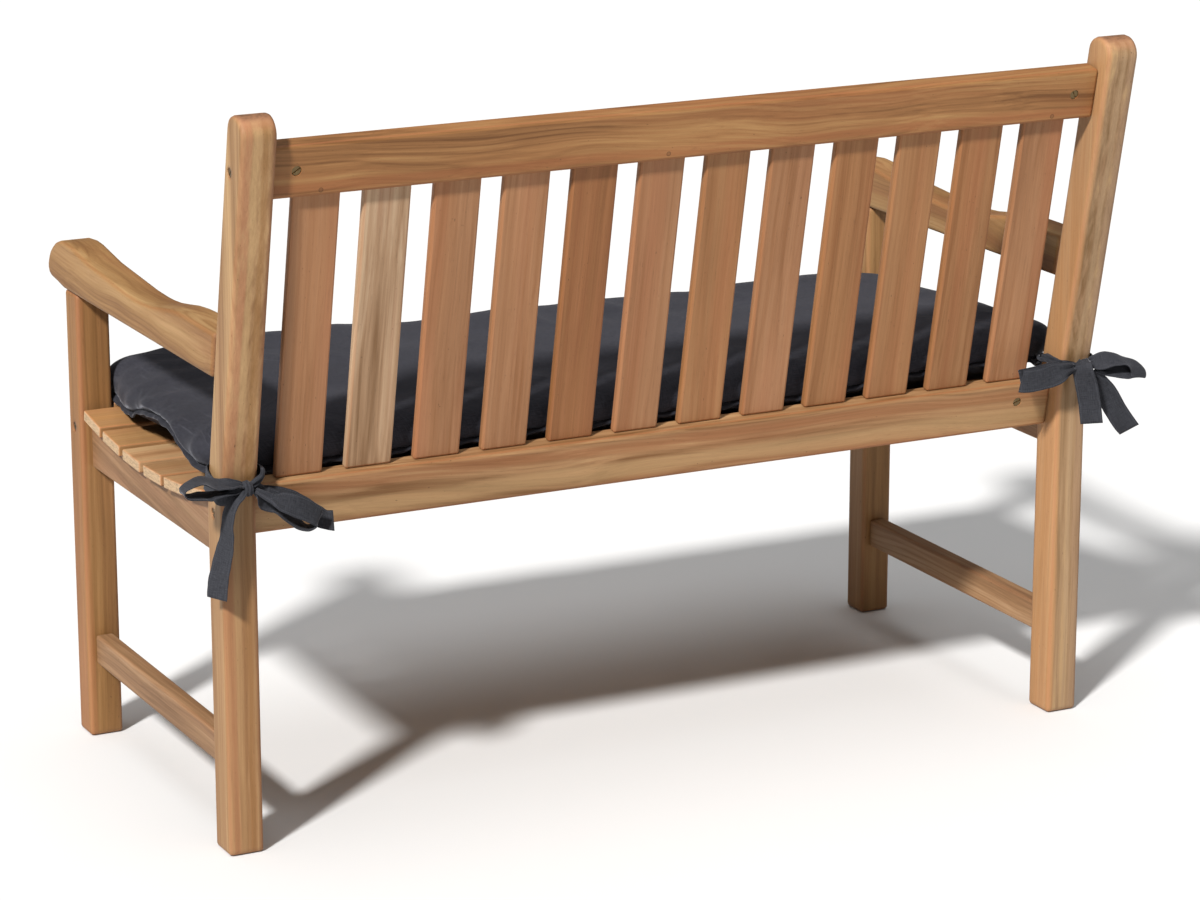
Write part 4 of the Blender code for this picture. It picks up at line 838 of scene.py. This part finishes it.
def stitch_row(name, points, length, pitch, thick, mat):
    """Stitches set along a path: one small rounded thread after another, each turned to its run."""
    path = bpy.data.curves.new(name, "CURVE")
    path.dimensions = "3D"
    run = path.splines.new("POLY")
    run.points.add(len(points) - 1)
    run.points.foreach_set("co", np.c_[points, np.ones(len(points))].ravel())
    run.use_cyclic_u = True
    carrier = link_piece(name, path)
    tree = bpy.data.node_groups.new(name, "GeometryNodeTree")
    for way in ("INPUT", "OUTPUT"):
        tree.interface.new_socket("Geometry", in_out=way, socket_type="NodeSocketGeometry")
    sewing = carrier.modifiers.new("sewing", "NODES")
    keys = {}
    for label, value in (("Pitch", pitch), ("Stitch length", length), ("Thread thickness", thick)):
        made = tree.interface.new_socket(label, in_out="INPUT", socket_type="NodeSocketFloat")
        made.default_value = value
        keys[made.identifier] = value
    given = wire(tree, "NodeGroupInput").outputs
    spaced = wire(tree, "GeometryNodeResampleCurve", {"mode": "LENGTH"}, Curve=given["Geometry"],
                  Length=given["Pitch"])
    thread = wire(tree, "GeometryNodeMeshUVSphere", Segments=6, Rings=4, Radius=0.5)
    tangent = wire(tree, "GeometryNodeInputTangent").outputs[0]
    turned = wire(tree, "FunctionNodeAlignRotationToVector", {"axis": "Z"}, Vector=tangent)
    size = wire(tree, "ShaderNodeCombineXYZ", n0=given["Thread thickness"], n1=given["Thread thickness"],
                n2=given["Stitch length"])
    placed = wire(tree, "GeometryNodeInstanceOnPoints", Points=spaced.outputs[0], Instance=thread.outputs[0],
                  Rotation=turned.outputs[0], Scale=size.outputs[0])
    real = wire(tree, "GeometryNodeRealizeInstances", Geometry=placed.outputs[0])
    dressed = wire(tree, "GeometryNodeSetMaterial", Geometry=real.outputs[0], Material=mat)
    wire(tree, "NodeGroupOutput", n0=dressed.outputs[0])
    sewing.node_group = tree
    for identifier, value in keys.items():
        sewing[identifier] = value
    mesh = bpy.data.meshes.new_from_object(carrier.evaluated_get(bpy.context.evaluated_depsgraph_get()))
    mesh.name = name
    bpy.data.objects.remove(carrier)
    mesh.shade_smooth()
    return link_piece(name, mesh)


thread, thread_tree, thread_shader = new_material("grey_thread")
thread_twist = speckle(thread_tree, wire(thread_tree, "ShaderNodeTexCoord").outputs["Object"], 2600.0)
thread_tint = blend(thread_tree, thread_twist, (0.050, 0.052, 0.062), (0.120, 0.122, 0.135))
thread_tree.links.new(thread_tint, thread_shader.inputs["Base Color"])
thread_shader.inputs["Roughness"].default_value = 0.7
stitch_path = between_legs(on_flange(STITCH_OUT, STITCH_UP)[None])[0]
stitches = stitch_row("seam_stitches", stitch_path, STITCH_LONG, STITCH_PITCH, STITCH_THICK, thread)
for sewn in (seam_edge, stitches):
    sewn.parent = cover

# ---------------------------------------------------------------- ties
# Flat tapes of the cushion's cloth, 29 mm wide, edge-stitched, sewn at the rear corners in pairs. One goes
# each side of the post and they meet in a bow on its back: two loops, two free ends, a wrap for the knot.
# Each station is in millimetres: middle (x, y, z), a direction across the tape in hundredths, and the width.
TIE_LEFT = {
    "outer": [(580.5, 195, 460, -60, 70, 10, 16), (592.5, 197, 464, -15, 25, 95, 26),
        (604, 207, 462.5, 0, 25, 95, 29), (604.5, 230, 455.5, 0, 35, 95, 29),
        (603, 251.5, 452, 0, 20, 100, 26), (594.5, 260, 454.5, 5, 0, 100, 20),
        (584, 262, 458.5, 5, 0, 100, 13), (576, 262, 460, 0, 0, 100, 9)],
    "inner": [(553, 200.4, 464, -30, -10, 95, 10), (549, 210, 471.5, -10, 0, 100, 12),
        (548, 228, 473.5, 0, 10, 100, 13), (548, 246, 473, 0, 20, 100, 13),
        (554, 257, 468.5, -10, 30, 95, 12), (564, 261.5, 463.5, 0, 10, 100, 10),
        (571.5, 262, 460.5, 0, 0, 100, 9)],
    "loop_out": [(579, 263.5, 463.5, 40, 80, -40, 10), (588, 265, 466.5, 45, 85, -20, 16),
        (601, 266.5, 469, 45, 85, -20, 24), (616, 267, 471.5, 45, 90, -15, 29),
        (632.5, 271, 477, 40, 95, 0, 29), (647, 275, 477, 20, 100, 0, 29),
        (659, 277, 471.5, 15, 100, 0, 29), (655.5, 276.5, 464.5, 15, 100, 0, 29),
        (642.5, 273, 460.5, 10, 100, 0, 29), (624.5, 267, 458, 10, 100, -10, 29),
        (608, 266.5, 459, 10, 100, -5, 24), (592, 265, 460, 25, 95, -10, 15),
        (579, 263.5, 460.5, 45, 85, -20, 9)],
    "loop_in": [(567, 262, 458.5, 20, 70, -70, 10), (558.5, 260, 453.5, 35, 55, -80, 21),
        (549.5, 257.5, 443, 25, 35, -90, 29), (534.5, 258, 436, 40, 50, -80, 29),
        (522.5, 264, 420.5, 55, 80, -30, 29), (510.5, 268, 408.5, 50, 85, -5, 29),
        (499.5, 272, 404.5, 50, 85, -5, 29), (490, 276, 415, 60, 65, -50, 29),
        (503.5, 279.5, 427, 55, 55, -60, 29), (521.5, 281, 436.5, 50, 50, -70, 29),
        (536, 278.5, 442.5, 60, 55, -60, 26), (549.5, 273, 449, 75, 60, -30, 15),
        (564, 266, 457.5, 35, 70, -65, 9)],
    "tail_down": [(577.5, 262.5, 460, 0, 100, 5, 10), (587, 266, 454.5, -30, 90, -30, 20),
        (595, 266.5, 445, -25, 95, 0, 24), (600, 265, 425, -10, 100, 10, 27),
        (601, 263, 400.5, -25, 95, 10, 29), (608, 262, 371, -45, 90, -5, 29),
        (612.5, 261.5, 350, -50, 85, -10, 29), (614.5, 261.5, 330, -50, 85, -10, 29)],
    "tail_side": [(566.5, 260, 457, 35, 70, -65, 9), (550.5, 254.5, 449.5, 40, 65, -65, 18),
        (532, 249, 442, 40, 65, -65, 25), (514, 248, 435, 35, 70, -65, 27),
        (497, 249, 425, 35, 70, -60, 29), (481, 250, 411, 35, 65, -70, 29),
        (470.5, 251.5, 405, 35, 70, -60, 29), (461.5, 253, 403, 30, 70, -65, 29)],
}
TIE_RIGHT = {
    "outer": [(-580.5, 195, 464, 60, 70, 10, 16), (-592.5, 197, 470, 15, 25, 95, 26),
        (-604, 207, 470, 0, 10, 100, 29), (-604.5, 230, 471, 0, 0, 100, 29),
        (-603, 254, 472, 0, 0, 100, 24), (-594.5, 264, 473, -5, 0, 100, 16),
        (-583, 266.5, 474, 0, 0, 100, 9)],
    "inner": [(-552.5, 198.7, 468, 30, -10, 95, 10), (-548.5, 208.5, 475, 10, 0, 100, 12),
        (-549, 222, 480, 30, 85, -35, 12), (-547, 240, 481, 30, 85, -35, 12),
        (-549.5, 255, 480.5, 40, 80, -50, 12), (-559, 263.5, 478, 35, 65, -70, 11),
        (-573, 266, 474.5, 25, 45, -85, 11)],
    "loop_in": [(-571.5, 263.5, 474, 30, 60, -75, 12), (-554, 262.5, 473, 25, 45, -85, 22),
        (-529.5, 262.5, 468, 15, 40, -90, 29), (-504.5, 264, 466, 10, 30, -95, 29),
        (-485.5, 267.5, 465.5, 10, 35, -95, 29), (-498.5, 271, 465, 5, 20, -100, 29),
        (-521, 273, 467.5, 5, 20, -100, 30), (-537.5, 273.5, 471, 20, 40, -90, 28),
        (-550.5, 272, 473.5, 35, 50, -80, 20), (-567, 268, 474, 25, 45, -85, 11)],
    "loop_out": [(-591.6, 268, 476.5, -18, 71, -68, 16), (-596.5, 270, 477.8, 12, 78, -61, 24),
        (-605.3, 271.5, 479.4, 22, 77, -59, 29), (-617.5, 271.5, 480.4, 30, 84, -45, 29),
        (-629.8, 272, 478.7, 38, 88, -28, 29), (-643.4, 273.5, 474.7, 54, 83, -12, 29),
        (-652.9, 275.5, 469.2, 80, 60, -6, 29), (-658.5, 277.5, 461.1, 94, 33, 9, 29),
        (-658.9, 279, 454.4, 94, 28, 20, 29), (-655, 278.5, 454.2, 93, 36, 10, 29),
        (-646.4, 275, 460.8, 85, 37, -39, 29), (-634.5, 271.5, 465.2, 70, 40, -59, 29),
        (-622, 270, 466.8, 67, 51, -54, 26), (-608.3, 269.5, 468.1, 66, 62, -42, 18),
        (-599.3, 268.5, 468, 51, 84, -20, 10)],
    "tail_down": [(-584, 262, 480.5, -55, 80, 25, 18), (-575.5, 272.5, 479, -65, 75, 15, 24),
        (-574.5, 276.5, 470, -60, 80, 10, 29), (-580.5, 276, 450.5, -80, 65, 5, 29),
        (-587.5, 274, 425.5, -80, 60, 10, 29), (-592.5, 273, 398, -70, 60, 30, 29)],
    "tail_side": [(-593, 268, 467, -35, 75, 55, 12), (-605.5, 266.5, 452.5, -50, 60, 65, 22),
        (-618, 266, 435, -65, 55, 55, 28), (-630, 266, 415, -80, 25, 55, 29),
        (-644, 266, 395, -75, 30, 55, 29), (-656, 266, 380.5, -60, 55, 60, 29)],
}
KNOTS = {"left": ((0.5735, 0.2622, 0.4595), (0.0070, 0.0084, 0.0092), 0.35),
         "right": ((-0.5802, 0.2680, 0.4745), (0.0078, 0.0084, 0.0090), -0.45)}
TAPE_WIDE, TAPE_THICK = 0.029, 0.0012
TAPE_STEPS, PLEATS, MOST_GATHERED = 7, 2.0, 1.9
KNOT_TURNS, KNOT_ROWS = 48, 25
#                 across   thickness share, over half the tape: folded edge, stitched groove, middle
TAPE_EDGE = [(1.000, 0.30), (0.985, 0.95), (0.930, 1.15), (0.850, 0.72), (0.770, 1.05), (0.500, 0.95),
             (0.250, 0.95), (0.0, 0.95)]
tie_cloth = cloth_finish("tie_cloth", (0.018, 0.0188, 0.023), (0.041, 0.0425, 0.050),
                         stitch_at=(0.0122, 0.0030))


def smooth_path(stations, steps):
    """A smooth run through the stations, with so many steps from each to the next."""
    rows = [np.array(station) / 1000 for station in stations]
    rows = [2 * rows[0] - rows[1]] + rows + [2 * rows[-1] - rows[-2]]
    points = []
    for a, b, c, d in zip(rows, rows[1:], rows[2:], rows[3:]):
        for t in np.arange(steps) / steps:
            points.append(0.5 * (2 * b + (c - a) * t + (2 * a - 5 * b + 4 * c - d) * t ** 2
                                 + (3 * b - a - 3 * c + d) * t ** 3))
    return np.array(points + [rows[-2]])


def tape_piece(name, stations, phase, square):
    """One run of tape: closed, edge-stitched, pleated where the knot gathers it. square says how far the
    direction across is turned square to the run."""
    path = smooth_path(stations, TAPE_STEPS)
    centre, across, width = path[:, :3], path[:, 3:6], np.minimum(path[:, 6], TAPE_WIDE)
    along = np.gradient(centre, axis=0)
    along /= np.linalg.norm(along, axis=1, keepdims=True)
    across = across - along * square * (across * along).sum(1, keepdims=True)
    across /= np.linalg.norm(across, axis=1, keepdims=True)
    face = np.cross(along, across)
    face /= np.linalg.norm(face, axis=1, keepdims=True)
    run = np.r_[0.0, np.cumsum(np.linalg.norm(np.diff(centre, axis=0), axis=1))]
    profile = [(-at, share) for at, share in TAPE_EDGE] + TAPE_EDGE[-2::-1]
    spare = np.clip(TAPE_WIDE / width, 1.0, MOST_GATHERED)        # cloth gathered into each millimetre
    pleat = width / (2 * math.pi * PLEATS) * np.sqrt(2 * (spare ** 2 - 1)) * np.clip((spare - 1) / 0.5, 0, 1)
    wave = (0.00045 * np.sin(2 * math.pi * run / 0.043 + phase)
            + 0.0003 * np.sin(2 * math.pi * run / 0.019 + 2 * phase))
    top, low, flat = [], [], []
    for at, share in profile:
        bent = pleat * np.sin(2 * math.pi * PLEATS * (at / 2) + phase) + wave * at
        core = centre + across * (at * width / 2)[:, None] + face * bent[:, None]
        top.append(core + face * (share * TAPE_THICK / 2))
        low.append(core - face * (share * TAPE_THICK / 2))
        flat.append(at * TAPE_WIDE / 2)
    ring = np.array(top + low[::-1])
    count, stops = ring.shape[:2]
    number = np.arange(count * stops).reshape(count, stops)
    onward = np.roll(number, -1, 0)
    faces = np.stack([number[:, :-1], number[:, 1:], onward[:, 1:], onward[:, :-1]], -1)
    faces = faces.reshape(-1, 4).tolist()
    for stop, order in ((0, 1), (stops - 1, -1)):
        for k in range(count // 2 - 1):
            quad = (number[k, stop], number[k + 1, stop], number[-2 - k, stop], number[-1 - k, stop])
            faces.append([int(v) for v in quad[::order]])
    flat = np.c_[np.repeat(flat + flat[::-1], stops), np.tile(run, count)]
    area = float((np.clip(width * spare, 0, TAPE_WIDE)[:-1] * np.diff(run)).sum())
    return sewn_piece(name, ring, faces, flat, tie_cloth), float(run[-1]), area


def knot_piece(name, centre, radii, slant):
    """The wrap of the knot: a band of tape round the gathered loops, creased along its turn."""
    turn = np.linspace(0.0, 2 * math.pi, KNOT_TURNS, endpoint=False)
    shares = np.linspace(-1.0, 1.0, KNOT_ROWS)
    rows = []
    for at in shares:
        rim = max((1 - abs(at) ** 2.6) ** 0.42 if abs(at) < 1 else 0.0, 0.02)
        crease = 1 + rim * (0.075 * np.cos(3.1 * math.pi * at + 2.2 * np.sin(turn + 0.6))
                            + 0.035 * np.cos(7.0 * math.pi * at + 3 * turn))
        rows.append(np.c_[centre[0] + radii[0] * at + slant * radii[0] * 0.5 * np.sin(turn) * rim,
                          centre[1] + radii[1] * rim * crease * np.cos(turn),
                          centre[2] + radii[2] * rim * crease * np.sin(turn)])
    number = np.arange(len(shares) * len(turn)).reshape(len(shares), len(turn))
    faces = band_faces(number) + [number[0].tolist(), number[-1][::-1].tolist()]
    flat = np.c_[np.repeat(shares * radii[0], len(turn)),
                 np.tile(np.arange(len(turn)) * THREAD_PITCH, len(shares))]
    return sewn_piece(name, np.array(rows), faces, flat, tie_cloth)


for side, strips in (("left", TIE_LEFT), ("right", TIE_RIGHT)):
    for order, (part_name, stations) in enumerate(strips.items()):
        square = 0.15 if (side, part_name) == ("right", "loop_out") else 1.0
        phase = 1.1 * order + 0.4
        piece, tape_long, area = tape_piece("tie_%s_%s" % (side, part_name), stations, phase, square)
        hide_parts("tie_" + side)
        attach(piece, "root")
    knot = knot_piece("tie_%s_knot" % side, *KNOTS[side])
    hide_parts("tie_" + side)
    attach(knot, "root")
